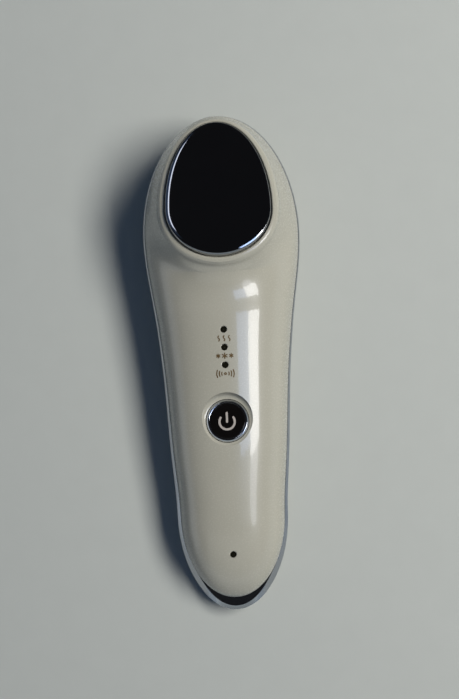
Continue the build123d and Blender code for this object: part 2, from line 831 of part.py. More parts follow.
with BuildPart() as fan_impeller:
    hub_top = fan_top - screw_tip_gap
    hub_under = hub_top - fan_hub_height
    blade_middle = (hub_top + hub_under) / 2
    blade_root = fan_hub_radius - fan_hub_wall / 2
    blade_tip = sqrt((fan_duct_radius - blade_gap) ** 2 - (tip_chord / 2 * cos(radians(tip_angle))) ** 2)
    add(columns([(0, cooler_y)], fan_hub_radius, hub_under, hub_top))
    hub_inside = fan_hub_radius - fan_hub_wall
    add(columns([(0, cooler_y)], hub_inside, hub_under, hub_top - fan_hub_wall), mode=Mode.SUBTRACT)
    add(columns([(0, cooler_y)], fan_axle_radius, hub_under, hub_top))
    for i in range(blade_count):
        turn = 2 * pi * i / blade_count
        out = Vector(cos(turn), sin(turn), 0)
        for radius, chord, angle in ((blade_root, root_chord, root_angle), (blade_tip, tip_chord, tip_angle)):
            place = Vector(0, cooler_y, blade_middle) + out * radius
            with BuildSketch(Plane(origin=place, x_dir=(-sin(turn), cos(turn), 0), z_dir=out)):
                Rectangle(chord, blade_thick, rotation=angle)
        loft(ruled=True)
fan_impeller.part.label = "fan_impeller"
export_step(fan_impeller.part, "parts/fan_impeller.step")

fan_seats = [(x, y, fan_under) for x, y in fan_posts]
fan_screws = screws(fan_seats, small_screw_radius, fan_thick + fan_bite, *small_head)
fan_screws.part.label = "fan_screws"
export_step(fan_screws.part, "parts/fan_screws.step")

# Push button: ring with a flange that the casing stops, cap in the ring, switch and its plunger
with BuildPart() as button_ring:
    cap_bore = cap_radius + cap_gap
    with BuildSketch(Plane.XZ.offset(-button_y)):
        with BuildLine():
            Polyline((ring_bore, flange_top - flange_thick), (flange_radius, flange_top - flange_thick),
                     (flange_radius, flange_top), (ring_radius, flange_top),
                     (ring_radius, ring_top - ring_round), (ring_radius - ring_round, ring_top),
                     (cap_bore, ring_top), (cap_bore, cap_under - fit), (ring_bore, cap_under - fit), close=True)
        make_face()
    revolve(axis=Axis((0, button_y, 0), (0, 0, 1)))
button_ring.part.label = "button_ring"
export_step(button_ring.part, "parts/button_ring.step")

with BuildPart() as button_cap:
    add(columns([(0, button_y)], cap_radius, cap_under, button_top))
button_cap.part.label = "button_cap"
export_step(button_cap.part, "parts/button_cap.step")

with BuildPart() as tact_switch:
    with BuildSketch(Plane.XY.offset(board_top)):
        with Locations((0, button_y)):
            Rectangle(switch_side, switch_side)
    extrude(amount=switch_height)
    plunger_top = cap_under - fit
    plunger_low = plunger_top - plunger_length
    bore_low = plunger_low - button_travel - head_gap
    add(columns([(0, button_y)], plunger_radius + bore_gap, bore_low, switch_top), mode=Mode.SUBTRACT)
tact_switch.part.label = "tact_switch"
export_step(tact_switch.part, "parts/tact_switch.step")

with BuildPart() as switch_plunger:
    add(columns([(0, button_y)], plunger_radius, plunger_low, plunger_top))
switch_plunger.part.label = "switch_plunger"
export_step(switch_plunger.part, "parts/switch_plunger.step")

# Circuit board with its chips, mode lamps, light shield and light guide
with BuildPart() as main_board:
    with BuildSketch(Plane.XY.offset(board_under)):
        with Locations((0, (board_head_y + board_tail_y) / 2)):
            RectangleRounded(board_width, board_length, board_round)
        with Locations(*board_posts):
            Circle(small_bore, mode=Mode.SUBTRACT)
    extrude(amount=board_thick)
main_board.part.label = "main_board"
export_step(main_board.part, "parts/main_board.step")

board_seats = [(x, y, board_under) for x, y in board_posts]
board_screws = screws(board_seats, small_screw_radius, board_thick + small_bite, *small_head)
board_screws.part.label = "board_screws"
export_step(board_screws.part, "parts/board_screws.step")

# Chips under the board: side, height, place across, place behind the board's head end
chips = [(6.0, 1.6, -3.5, 11.0), (5.0, 1.6, 5.0, 14.0), (7.0, 1.0, 0.0, 24.0), (6.0, 3.0, 0.0, 34.0)]
with BuildPart() as control_chips:
    for side, height, x, back in chips:
        with BuildSketch(Plane.XY.offset(board_under)):
            with Locations((x, board_head_y - back)):
                Rectangle(side, side)
        extrude(amount=-height)
control_chips.part.label = "control_chips"
export_step(control_chips.part, "parts/control_chips.step")

with BuildPart() as indicator_leds:
    with BuildSketch(Plane.XY.offset(board_top)):
        with Locations(*[(0, y) for y in lamp_ys]):
            Rectangle(led_length, led_width)
    extrude(amount=led_height)
indicator_leds.part.label = "indicator_leds"
export_step(indicator_leds.part, "parts/indicator_leds.step")

with BuildPart() as light_shield:
    with BuildSketch(Plane.XY.offset(board_top + fit)):
        with Locations((0, lamps_middle)):
            Rectangle(shield_width, lamp_ys[-1] - lamp_ys[0] + 2 * guide_end + shield_width - guide_width)
        with Locations(*[(0, y) for y in lamp_ys]):
            Circle(shield_bore, mode=Mode.SUBTRACT)
    extrude(amount=shield_height)
light_shield.part.label = "light_shield"
export_step(light_shield.part, "parts/light_shield.step")

with BuildPart() as light_guide:
    guide_ends = (lamp_ys[0] - guide_end, lamp_ys[-1] + guide_end)
    add(block(guide_width, *guide_ends, shield_top + fit, shield_top + guide_thick))
    for y in lamp_ys:
        add(columns([(0, y)], lamp_radius, shield_top + fit, front_surface(y) - lamp_sink))
light_guide.part.label = "light_guide"
export_step(light_guide.part, "parts/light_guide.step")


# Vibration motor along the middle, in a rubber boot on the rear casing
def motor_round(radius, tail_end, head_end):
    """Round bar along the motor's axis."""
    with BuildPart() as bar:
        with BuildSketch(Plane.XZ.offset(-tail_end)):
            with Locations((0, motor_z)):
                Circle(radius)
        extrude(amount=tail_end - head_end)
    return bar.part


motor_tail_y = motor_face_y - motor_length
can_tail_y = motor_tail_y + motor_cap_length
shaft_tail_y = can_tail_y + motor_cap_length
weight_tail_y = motor_face_y + weight_gap

with BuildPart() as motor_can:
    add(motor_round(motor_radius, can_tail_y, motor_face_y))
    add(motor_round(motor_shaft_radius + bore_gap, shaft_tail_y - head_gap, motor_face_y), mode=Mode.SUBTRACT)
motor_can.part.label = "motor_can"
export_step(motor_can.part, "parts/motor_can.step")

with BuildPart() as motor_end_cap:
    add(motor_round(motor_radius - fit, motor_tail_y, can_tail_y))
motor_end_cap.part.label = "motor_end_cap"
export_step(motor_end_cap.part, "parts/motor_end_cap.step")

with BuildPart() as motor_shaft:
    add(motor_round(motor_shaft_radius, shaft_tail_y, weight_tail_y + weight_length))
motor_shaft.part.label = "motor_shaft"
export_step(motor_shaft.part, "parts/motor_shaft.step")

with BuildPart() as eccentric_weight:
    with BuildSketch(Plane.XZ.offset(-weight_tail_y)):
        with Locations((0, motor_z)):
            Circle(weight_radius)
        with Locations((0, motor_z + weight_radius / 2)):
            Rectangle(2 * weight_radius, weight_radius, mode=Mode.SUBTRACT)
        with Locations((0, motor_z)):
            Circle(weight_hub_radius)
            Circle(motor_shaft_radius, mode=Mode.SUBTRACT)
    extrude(amount=-weight_length)
eccentric_weight.part.label = "eccentric_weight"
export_step(eccentric_weight.part, "parts/eccentric_weight.step")

with BuildPart() as motor_boot:
    add(block(boot_width, boot_tail_y, boot_tail_y + boot_length, wall, wall + boot_height))
    add(motor_round(motor_radius, boot_tail_y, boot_tail_y + boot_length), mode=Mode.SUBTRACT)
motor_boot.part.label = "motor_boot"
export_step(motor_boot.part, "parts/motor_boot.step")

# Battery on foam tape, with its protection board at its head end
with BuildPart() as battery:
    with BuildSketch(Plane.XZ.offset(-battery_tail_y)):
        with Locations((0, wall + tape_thick + battery_thick / 2)):
            RectangleRounded(battery_width, battery_thick, battery_round)
    extrude(amount=-battery_length)
battery.part.label = "battery"
export_step(battery.part, "parts/battery.step")

with BuildPart() as battery_tape:
    add(block(tape_width, battery_tail_y + tape_margin, battery_head_y - tape_margin, wall, wall + tape_thick))
battery_tape.part.label = "battery_tape"
export_step(battery_tape.part, "parts/battery_tape.step")

with BuildPart() as protection_board:
    protection_low = wall + tape_thick + (battery_thick - protection_thick) / 2
    add(block(protection_width, battery_head_y, battery_head_y + protection_depth, protection_low,
              protection_low + protection_thick))
protection_board.part.label = "protection_board"
export_step(protection_board.part, "parts/protection_board.step")

# Charge board between the casings at the tail, with its socket, lamp and light guide
with BuildPart() as charge_board:
    shoulder_y = tail_tip_y + charge_board_shoulder
    with BuildSketch(Plane.XY.offset(charge_board_under)):
        with Locations((0, (shoulder_y + tail_tip_y + charge_board_end) / 2)):
            Rectangle(charge_board_width, charge_board_end - charge_board_shoulder)
        with Locations((0, (tail_tip_y + charge_board_start + shoulder_y) / 2)):
            Rectangle(charge_board_neck, charge_board_shoulder - charge_board_start)
        with Locations((0, tail_tip_y + (charge_board_start + notch_end) / 2)):
            Rectangle(socket_width + socket_gap, notch_end - charge_board_start, mode=Mode.SUBTRACT)
        with Locations(*charge_posts):
            Circle(small_bore, mode=Mode.SUBTRACT)
    extrude(amount=charge_board_thick)
charge_board.part.label = "charge_board"
export_step(charge_board.part, "parts/charge_board.step")

charge_seats = [(x, y, charge_board_top) for x, y in charge_posts]
charge_board_screws = screws(charge_seats, small_screw_radius, -charge_board_thick - small_bite, *small_head)
charge_board_screws.part.label = "charge_board_screws"
export_step(charge_board_screws.part, "parts/charge_board_screws.step")

with BuildPart() as charge_led:
    add(block(led_length, charge_lamp_y - led_width / 2, charge_lamp_y + led_width / 2, charge_board_top,
              charge_board_top + led_height))
charge_led.part.label = "charge_led"
export_step(charge_led.part, "parts/charge_led.step")

with BuildPart() as charge_light_guide:
    rod_low = charge_board_top + led_height + fit
    add(columns([(0, charge_lamp_y)], rod_radius, rod_low, ceiling(charge_lamp_y - rod_radius) - rod_gap))
    add(columns([(0, charge_lamp_y)], lamp_radius, rod_low, front_surface(charge_lamp_y) - lamp_sink))
charge_light_guide.part.label = "charge_light_guide"
export_step(charge_light_guide.part, "parts/charge_light_guide.step")

with BuildPart() as charge_socket:
    with BuildSketch(Plane.XZ.offset(-socket_back_y)):
        with Locations((0, socket_z)):
            RectangleRounded(socket_width, socket_height, socket_round)
    extrude(amount=socket_length)
    with BuildSketch(Plane.XZ.offset(-socket_back_y + socket_wall)):
        with Locations((0, socket_z)):
            RectangleRounded(socket_width - 2 * socket_wall, socket_height - 2 * socket_wall,
                             socket_round - socket_wall)
    extrude(amount=socket_length, mode=Mode.SUBTRACT)
    add(block(tongue_width, socket_back_y - socket_wall - tongue_length, socket_back_y,
              socket_z - tongue_thick / 2, socket_z + tongue_thick / 2))
charge_socket.part.label = "charge_socket"
export_step(charge_socket.part, "parts/charge_socket.step")

shell_screws = screws(shell_posts, screw_radius, screw_length, screw_head_radius, screw_head_height)
shell_screws.part.label = "shell_screws"
export_step(shell_screws.part, "parts/shell_screws.step")
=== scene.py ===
import json
from math import atan2, cos, pi, radians, sin, sqrt

import bpy
import numpy as np
from mathutils import Matrix, Vector


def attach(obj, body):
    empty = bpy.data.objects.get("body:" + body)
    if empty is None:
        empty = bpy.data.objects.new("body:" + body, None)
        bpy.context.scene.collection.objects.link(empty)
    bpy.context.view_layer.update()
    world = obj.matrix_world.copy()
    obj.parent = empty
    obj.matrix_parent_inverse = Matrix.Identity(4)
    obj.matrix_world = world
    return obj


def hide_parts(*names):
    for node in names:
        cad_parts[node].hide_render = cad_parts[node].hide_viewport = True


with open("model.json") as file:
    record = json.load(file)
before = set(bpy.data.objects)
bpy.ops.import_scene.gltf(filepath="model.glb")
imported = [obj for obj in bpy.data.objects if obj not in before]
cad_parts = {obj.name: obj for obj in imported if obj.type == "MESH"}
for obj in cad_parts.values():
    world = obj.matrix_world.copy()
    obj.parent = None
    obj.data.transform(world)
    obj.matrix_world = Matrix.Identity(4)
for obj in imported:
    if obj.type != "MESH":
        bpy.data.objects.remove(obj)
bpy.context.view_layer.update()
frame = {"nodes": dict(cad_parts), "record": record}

# Hot and cold facial massager. Shapes are worked out in millimetres, as in the part's own source, and become
# metres when a mesh is made.
MM = 0.001

# Outline: each end's tip, its widest line and the reach between them, then half widths along the flank
head_tip, head_wide, head_reach = 82.99, 43.0, 39.99
tail_tip, tail_wide, tail_reach = -82.84, -50.0, 32.84
flank_y = np.array([tail_wide, -31.4, -4.43, 22.54, head_wide])
flank_half = np.array([18.7, 19.8, 21.2, 23.9, 26.0])

# How far the casings stand in from the band: at the tips, and along the flank between two places
head_step, tail_step = 0.6, 4.6
flank_places, flank_steps = (tail_wide, 30.0), (1.05, 0.45)
casing_head, casing_tail = head_tip - head_step, tail_tip + tail_step
wall = 2.0

# Heights: parting plane, crown line, and how full the cross sections are
seam_height, seam_slope, seam_gap = 11.5, 0.07, 2.25
crown_y = np.array([-83.0, -50.0, -33.7, -17.4, 0.8, 27.6, 52.0])
crown_z = np.array([20.4, 24.4, 26.3, 28.0, 29.9, 32.7, 34.0])
full_y = np.array([-50.0, -17.4, 43.0])
full_share = np.array([0.68, 0.70, 0.66])
back_fullness, back_sink = 0.78, 0.8
crown_peak = 52.0
front_head_power, front_tail_power = 2.9, 2.2  # how squarely the ends round off: 2 is an ellipse
back_head_power, back_tail_power = 2.6, 2.4
far_below = -50.0  # a height that nothing reaches

# Contact plate, its seat and the collar's top, and half the band's height
plate_y, plate_half, plate_tip, plate_heel, plate_top = 50.0, 16.7, 27.1, 14.8, 40.2
plate_under, ledge_top, collar_top, plate_gap = 36.5, 36.0, 38.0, 0.3
band_half = 2.2

# Button, lamps, and screw posts as (x, y, height of the screw's seat)
button_y, button_top, dish_floor = -17.4, 27.5, 26.8
lamp_ys = (0.8, 6.5, 12.2)
charge_lamp_y = -61.65
lamp_hole, lamp_rim = 1.05, 0.25
shell_posts = ((-17.5, 36.0, 4.0), (17.5, 36.0, 4.0), (-11.0, -54.0, 3.0), (11.0, -54.0, 3.0))
post_radius, tube_radius, counterbore, screw_bore = 2.6, 3.2, 2.2, 1.15
bore_reach = 14.3  # from the screw's seat up to the end of its bore
cooler_y = 53.0
vent_count, vent_pitch, vent_half, vent_circle = 7, 3.2, 0.8, 11.5


# Working with objects, as by hand


def pick(piece):
    """Only this piece is selected and active."""
    bpy.ops.object.select_all(action="DESELECT")
    piece.select_set(True)
    bpy.context.view_layer.objects.active = piece


def settle(piece):
    """The piece's place goes into its mesh."""
    pick(piece)
    bpy.ops.object.transform_apply(location=True, rotation=True, scale=True)


def made(name):
    """The primitive just added gets its name, and its place goes into its mesh."""
    piece = bpy.context.object
    piece.name = name
    piece.data.name = name
    settle(piece)
    return piece


def from_points(name, points, faces, gap=2e-6):
    """Mesh object through points in millimetres, doubles merged and faces turned outwards."""
    mesh = bpy.data.meshes.new(name)
    mesh.from_pydata([tuple(float(v) * MM for v in p) for p in points], [], faces)
    piece = bpy.data.objects.new(name, mesh)
    bpy.context.collection.objects.link(piece)
    clean(piece, gap)
    return piece


def clean(piece, gap):
    """Doubles are merged and faces turned outwards."""
    pick(piece)
    bpy.ops.object.mode_set(mode="EDIT")
    bpy.ops.mesh.select_all(action="SELECT")
    bpy.ops.mesh.remove_doubles(threshold=gap)
    bpy.ops.mesh.dissolve_degenerate(threshold=gap / 2)
    bpy.ops.mesh.normals_make_consistent(inside=False)
    bpy.ops.object.mode_set(mode="OBJECT")


def cut(piece, tool, operation="DIFFERENCE"):
    """The tool is cut from the piece, joined to it, or what both share is kept, and the tool goes."""
    pick(piece)
    trim = piece.modifiers.new("cut", "BOOLEAN")
    trim.operation = operation
    trim.solver = "EXACT"
    trim.object = tool
    bpy.ops.object.modifier_apply(modifier=trim.name)
    bpy.data.objects.remove(tool)


def smooth(piece, angle):
    """Edges blunter than the angle are shaded smooth."""
    pick(piece)
    bpy.ops.object.shade_smooth_by_angle(angle=radians(angle))


def column(name, x, y, radius, low, high, corners=64):
    """Upright round column, in millimetres."""
    bpy.ops.mesh.primitive_cylinder_add(vertices=corners, radius=radius * MM, depth=(high - low) * MM,
                                        location=(x * MM, y * MM, (low + high) / 2 * MM))
    return made(name)


def box(name, middle, size):
    """Box, in millimetres."""
    bpy.ops.mesh.primitive_cube_add(size=MM, location=[v * MM for v in middle])
    bpy.context.object.scale = size
    return made(name)


def lathe(name, x, y, profile, turns=128):
    """Closed profile of (radius, height) points turned about the upright line through x, y."""
    points, faces = [], []
    count = len(profile)
    for k in range(turns):
        a = 2 * pi * k / turns
        points += [(x + r * cos(a), y + r * sin(a), z) for r, z in profile]
        for i in range(count):
            near, far = k * count, (k + 1) % turns * count
            faces.append((near + i, near + (i + 1) % count, far + (i + 1) % count, far + i))
    return from_points(name, points, faces)


def egg_block(name, grow, low, high, corners=256):
    """Upright block over the contact plate's outline, grown all round."""
    piece = column(name, 0, 0, 1.0, low, high, corners)
    for vertex in piece.data.vertices:
        x, y = vertex.co.x / MM, vertex.co.y / MM
        reach = (plate_tip if y > 0 else plate_heel) + grow
        vertex.co.x, vertex.co.y = x * (plate_half + grow) * MM, (plate_y + y * reach) * MM
    return piece


# The casings' form


def clamped_spline(ys, values):
    """Slopes of the smooth curve through the stations, level at both ends."""
    n = len(ys)
    rows, right = np.zeros((n, n)), np.zeros(n)
    rows[0, 0] = rows[-1, -1] = 1.0
    for i in range(1, n - 1):
        near, far = ys[i] - ys[i - 1], ys[i + 1] - ys[i]
        rows[i, i - 1], rows[i, i], rows[i, i + 1] = 1 / near, 2 / near + 2 / far, 1 / far
        right[i] = 3 * ((values[i] - values[i - 1]) / near**2 + (values[i + 1] - values[i]) / far**2)
    return np.linalg.solve(rows, right)


def through(ys, values, slopes, y):
    """Value at y of the curve through the stations with those slopes, level beyond them."""
    y = np.clip(np.asarray(y, float), ys[0], ys[-1])
    i = np.clip(np.searchsorted(ys, y, side="right") - 1, 0, len(ys) - 2)
    span = ys[i + 1] - ys[i]
    t = (y - ys[i]) / span
    return ((1 + 2 * t) * (1 - t) ** 2 * values[i] + t * (1 - t) ** 2 * span * slopes[i]
            + t**2 * (3 - 2 * t) * values[i + 1] + t**2 * (t - 1) * span * slopes[i + 1])


def middle_slopes(ys, values):
    """Slopes through stations: along the neighbours, and level at the head end."""
    slopes = np.zeros(len(ys))
    slopes[0] = (values[1] - values[0]) / (ys[1] - ys[0])
    slopes[1:-1] = (values[2:] - values[:-2]) / (ys[2:] - ys[:-2])
    return slopes


flank_slopes = clamped_spline(flank_y, flank_half)
crown_slopes = middle_slopes(crown_y, crown_z)
full_slopes = middle_slopes(full_y, full_share)


def seam(y):
    """Height of the parting plane between the casings, at y."""
    return seam_height + seam_slope * np.asarray(y, float)


def half_width(y, side, head, tail):
    """Half the outline's width at y, moved in by side, head and tail."""
    y = np.asarray(y, float)
    ahead = np.clip((y - head_wide) / (head_reach - head), 0, 1)
    behind = np.clip((tail_wide - y) / (tail_reach - tail), 0, 1)
    flank = through(flank_y, flank_half, flank_slopes, y) - side
    return flank * np.sqrt(1 - ahead**2) * np.sqrt(1 - behind**2)


def side_step(y):
    """How far the casings stand in from the band along the flanks."""
    return np.interp(np.asarray(y, float), flank_places, flank_steps)


def ends(y, head_start, head_end, head_power, tail_end, tail_power):
    """1 along the middle, falling to 0 at both tips along rounded ends."""
    ahead = np.clip((y - head_start) / (head_end - head_start), 0, 1)
    behind = np.clip((y - tail_wide) / (tail_end - tail_wide), 0, 1)
    return (1 - ahead**head_power) ** (1 / head_power) * (1 - behind**tail_power) ** (1 / tail_power)


def front_rise(y, inset):
    """Height of the front casing's crown over its foot, moved in by inset."""
    peak = through(crown_y, crown_z, crown_slopes, y) - inset
    end = ends(y, crown_peak, casing_head - inset, front_head_power, casing_tail + inset, front_tail_power)
    return (peak - seam(y) - seam_gap) * end


def back_drop(y, inset):
    """Depth of the rear casing's keel under its foot, moved in by inset."""
    end = ends(y, head_wide, casing_head - inset, back_head_power, casing_tail + inset, back_tail_power)
    return (seam(y) - seam_gap + back_sink) * end


def arch(t, fullness):
    """Point of a quarter arch of unit size, upright at its foot and level at its top."""
    across = (1 - t) ** 3 + 3 * t * (1 - t) ** 2 + 3 * t**2 * (1 - t) * fullness
    up = 3 * t * (1 - t) ** 2 * fullness + 3 * t**2 * (1 - t) + t**3
    return across, up


def front_height(x, y):
    """Height of the front casing's plain body over the point x, y."""
    x, y = np.abs(np.asarray(x, float)), np.asarray(y, float)
    half = np.maximum(half_width(y, side_step(y), head_step, tail_step), 1e-6)
    share = np.clip(x / half, 0, 1)
    fullness = through(full_y, full_share, full_slopes, y)
    low, high = np.zeros_like(share), np.ones_like(share)
    for _ in range(40):
        middle = (low + high) / 2
        outside = arch(middle, fullness)[0] > share
        low, high = np.where(outside, middle, low), np.where(outside, high, middle)
    return seam(y) + seam_gap + front_rise(y, 0.0) * arch(low, fullness)[1]


# The collar round the plate, as levels of (growth at the sides, the heel and the tip, height): a rounded rim,
# thinner at the tip, then a flank that runs out into the body
rim_inner, rim_lip, rim_round = 0.3, 0.4, 1.5  # gap to the plate, round at the gap, height of the outer round
rim_width = np.array([2.2, 2.2, 1.3])
rim_flare = np.array([0.12, 0.27, 0.05])  # how far the round stops short of upright
rim_power = 1.15  # over 1, the rim's crown is flatter than a circle
flank_depth, flank_levels = 12, 80
lean_from, lean_softness, lean_zero = 2.6, 2.0, 0.347  # where the flank starts to lean out, and how gently
side_lean, tip_lean, heel_lean = 0.42, 0.16, 0.5
heel_sweep, sweep_depth = 3.2, 2.6  # the heel's flank sweeps out by this much, half of it within this depth


def collar_levels():
    """Levels of the collar, from its gap to the plate outwards and down."""
    levels = []
    for i in range(5):
        a = pi / 2 * i / 5
        grown = rim_inner + rim_lip * (1 - cos(a))
        levels.append((grown, grown, grown, collar_top - rim_lip * (1 - sin(a))))
    for i in range(15):
        a = pi / 2 * i / 14
        out = (rim_width - rim_lip) * (sin(a) ** rim_power + rim_flare * (1 - cos(a)))
        levels.append((*(rim_inner + rim_lip + out), collar_top - rim_round * (1 - cos(a))))
    edge = rim_inner + rim_lip + out
    for drop in np.linspace(rim_round, flank_depth, flank_levels)[1:]:
        past, below = drop - lean_from, drop - rim_round
        spread = (past + sqrt(past**2 + lean_softness)) / 2 - lean_zero
        heel = heel_sweep * (1 - 1 / (1 + (below / sweep_depth) ** 2)) + heel_lean * below
        out = np.array([side_lean * spread, heel, tip_lean * spread])
        levels.append((*(edge + out), collar_top - drop))
    return np.array(levels)


collar = collar_levels()
collar_rings = 40  # levels that are rings of their own; further out the rings turn into the body's rows
joining_rings = 13


def egg_points(angles, sides, heel, tip):
    """Points of the grown plate outline at those angles."""
    y_half = np.where(np.sin(angles) > 0, plate_tip + tip, plate_heel + heel)
    return (plate_half + sides) * np.cos(angles), plate_y + y_half * np.sin(angles)


def collar_height(x, y):
    """Height of the collar over the point x, y, far below the body where it has run out."""
    x, y = np.asarray(x, float), np.asarray(y, float) - plate_y
    y_half = np.where(y[..., None] > 0, plate_tip + collar[:, 2], plate_heel + collar[:, 1])
    size = np.hypot(x[..., None] / (plate_half + collar[:, 0]), y[..., None] / y_half)
    inside = size <= 1
    first = np.argmax(inside, axis=-1)
    none = ~inside.any(axis=-1)
    first = np.clip(first, 1, None)
    near = np.take_along_axis(size, first[..., None] - 1, -1)[..., 0]
    far = np.take_along_axis(size, first[..., None], -1)[..., 0]
    t = np.clip((near - 1) / np.maximum(near - far, 1e-9), 0, 1)
    z = collar[first - 1, 3] * (1 - t) + collar[first, 3] * t
    return np.where(none, far_below, z)


def blend(a, b, width):
    """The higher of two heights, with a fillet where they meet."""
    near = np.maximum(width - np.abs(a - b), 0) / width
    return np.maximum(a, b) + near**2 * width / 4


valley = 3.2  # width of the fillet between collar and body


def dressed_height(x, y):
    """Height of the front casing with its collar over the point x, y."""
    return blend(front_height(x, y), collar_height(x, y), valley)


class Shape:
    """Points and faces of a mesh under way."""

    def __init__(self):
        self.points, self.faces = [], []

    def add(self, xs, ys, zs):
        """Adds points and gives their numbers, in the shape that the three broadcast to."""
        start = len(self.points)
        shape = np.broadcast(xs, ys, zs).shape
        cells = [np.broadcast_to(v, shape).ravel() for v in (xs, ys, zs)]
        self.points += list(zip(*cells))
        return np.arange(start, len(self.points)).reshape(shape)

    def strip(self, one, other, closed=False):
        """Faces between two lines of points."""
        count = len(one)
        for i in range(count if closed else count - 1):
            j = (i + 1) % count
            self.face((one[i], one[j], other[j], other[i]))

    def face(self, corners):
        """One face through these points."""
        self.faces.append(tuple(int(v) for v in corners))

    def sleeve(self, rings):
        """Closed rings joined one to the next."""
        for one, other in zip(rings, rings[1:]):
            self.strip(one, other, closed=True)


# Rows across the casings, from the tail's tip to the head's. Between first_row and last_row the front casing's
# middle columns make way for rings round the collar.
tail_rows, grip_rows, neck_rows, head_rows, tip_rows = 24, 54, 10, 36, 9
neck_y, tip_turn = 31.0, 74
rows = np.concatenate([
    tail_wide + (casing_tail - tail_wide) * np.sin(np.radians(np.linspace(90, 0, tail_rows + 1)[:-1])),
    np.linspace(tail_wide, neck_y, grip_rows + 1)[:-1],
    np.linspace(neck_y, head_wide, neck_rows + 1)[:-1],
    head_wide + (casing_head - head_wide) * np.sin(np.radians(np.linspace(0, tip_turn, head_rows + 1)[:-1])),
    head_wide + (casing_head - head_wide) * np.sin(np.radians(np.linspace(tip_turn, 90, tip_rows))),
])
first_row = tail_rows + grip_rows
last_row = first_row + neck_rows + head_rows
columns = 32  # from foot to crown on each side
foot_columns = 10
first_column, last_column = foot_columns, 2 * columns - foot_columns
turns = np.minimum(np.arange(2 * columns + 1), 2 * columns - np.arange(2 * columns + 1)) / columns
sides = np.where(np.arange(2 * columns + 1) <= columns, 1.0, -1.0)


def rows_at(inset):
    """The rows of a body moved in by inset: those beyond its tips fall together."""
    return np.clip(rows, casing_tail + inset, casing_head - inset)


def arch_grid(inset, rise, base, fullness):
    """Points of an arched body over all rows: x, y, z."""
    at = rows_at(inset)
    half = half_width(at, side_step(at) + inset, head_step + inset, tail_step + inset)
    across, up = arch(turns[None, :], fullness[:, None])
    x = half[:, None] * across * sides[None, :]
    return x, np.broadcast_to(at[:, None], x.shape), base[:, None] + rise[:, None] * up


def close_grid(shape, grid, floor_drop):
    """Lid over an arched body's open foot, floor_drop below it."""
    right, left = grid[:, 0], grid[:, -1]
    if floor_drop:
        points = np.array(shape.points)
        low = [shape.add(points[line, 0], points[line, 1], points[line, 2] - floor_drop)
               for line in (right, left)]
        shape.strip(right, low[0])
        shape.strip(left, low[1])
        right, left = low
    shape.strip(right, left)


def arch_solid(name, inset, rise, base, fullness, floor_drop=0.0, rest=far_below):
    """Closed arched body, flattened at the rest height with a soft edge."""
    shape = Shape()
    x, y, z = arch_grid(inset, rise, base, fullness)
    grid = shape.add(x, y, blend(z, rest, 0.6))
    for i in range(len(rows) - 1):
        shape.strip(grid[i], grid[i + 1])
    close_grid(shape, grid, floor_drop)
    return from_points(name, shape.points, shape.faces, 3e-5)


def front_solid():
    """The front casing's outside with its collar, and the plate's seat, as one closed body."""
    shape = Shape()
    fullness = through(full_y, full_share, full_slopes, rows)
    x, y, z = arch_grid(0.0, front_rise(rows, 0.0), seam(rows) + seam_gap, fullness)
    raised = blend(z, collar_height(x, y), valley)
    z = np.where(turns[None, :] > 0, raised, z)
    grid = shape.add(x, y, z)
    for i in range(len(rows) - 1):
        for j in range(2 * columns):
            if first_row <= i < last_row and first_column <= j < last_column:
                continue
            shape.face((grid[i, j], grid[i, j + 1], grid[i + 1, j + 1], grid[i + 1, j]))
    border = [*grid[first_row:last_row, first_column], *grid[last_row, first_column:last_column],
              *grid[last_row:first_row:-1, last_column], *grid[first_row, last_column:first_column:-1]]
    at = np.array([shape.points[k] for k in border])
    aimed = 3  # growth of the egg on which the border's points get their angles
    y_half = np.where(at[:, 1] > plate_y, plate_tip + aimed, plate_heel + aimed)
    angles = np.arctan2((at[:, 1] - plate_y) / y_half, at[:, 0] / (plate_half + aimed))
    grown = collar[collar_rings - 1]
    inner_x, inner_y = egg_points(angles, grown[0], grown[1], grown[2])
    before = np.array(border)
    for share in np.linspace(0, 1, joining_rings + 2)[1:-1]:
        x, y = at[:, 0] * (1 - share) + inner_x * share, at[:, 1] * (1 - share) + inner_y * share
        ring = shape.add(x, y, dressed_height(x, y))
        shape.strip(before, ring, closed=True)
        before = ring
    for side, heel, tip, height in collar[collar_rings - 1::-1]:
        x, y = egg_points(angles, side, heel, tip)
        ring = shape.add(x, y, blend(front_height(x, y), height, valley))
        shape.strip(before, ring, closed=True)
        before = ring
    seat = shape.add(*egg_points(angles, plate_gap, plate_gap, plate_gap), ledge_top)
    shape.strip(before, seat, closed=True)
    shape.face(seat)
    close_grid(shape, grid, 0.0)
    return from_points("front_casing", shape.points, shape.faces, 3e-5)


# What is eased lies outside the plate's outline grown by eased_rim, inside an ellipse at the head and a half
# width behind it, and ahead of and above two places
eased_rim = 1.9
eased_half, eased_reach, eased_flank = 24.6, 38.2, 22.5
eased_y, eased_z = 20, 20


def ease_valley(piece):
    """The hollow where the collar meets the body is eased, its rim and the body's edges left as they are."""
    pick(piece)
    bpy.ops.object.mode_set(mode="EDIT")
    bpy.ops.mesh.select_all(action="DESELECT")
    bpy.ops.object.mode_set(mode="OBJECT")
    for vertex in piece.data.vertices:
        x, y, z = (v / MM for v in vertex.co)
        rim_y = (plate_tip if y > plate_y else plate_heel) + eased_rim
        reach = np.hypot(x / (plate_half + eased_rim), (y - plate_y) / rim_y)
        if y > head_wide:
            edge = np.hypot(x / eased_half, (y - head_wide) / eased_reach)
        else:
            edge = abs(x) / eased_flank
        vertex.select = bool(reach > 1 and edge < 1 and y > eased_y and z > eased_z)
    bpy.ops.object.mode_set(mode="EDIT")
    bpy.ops.mesh.vertices_smooth(factor=0.5, repeat=24)
    bpy.ops.object.mode_set(mode="OBJECT")


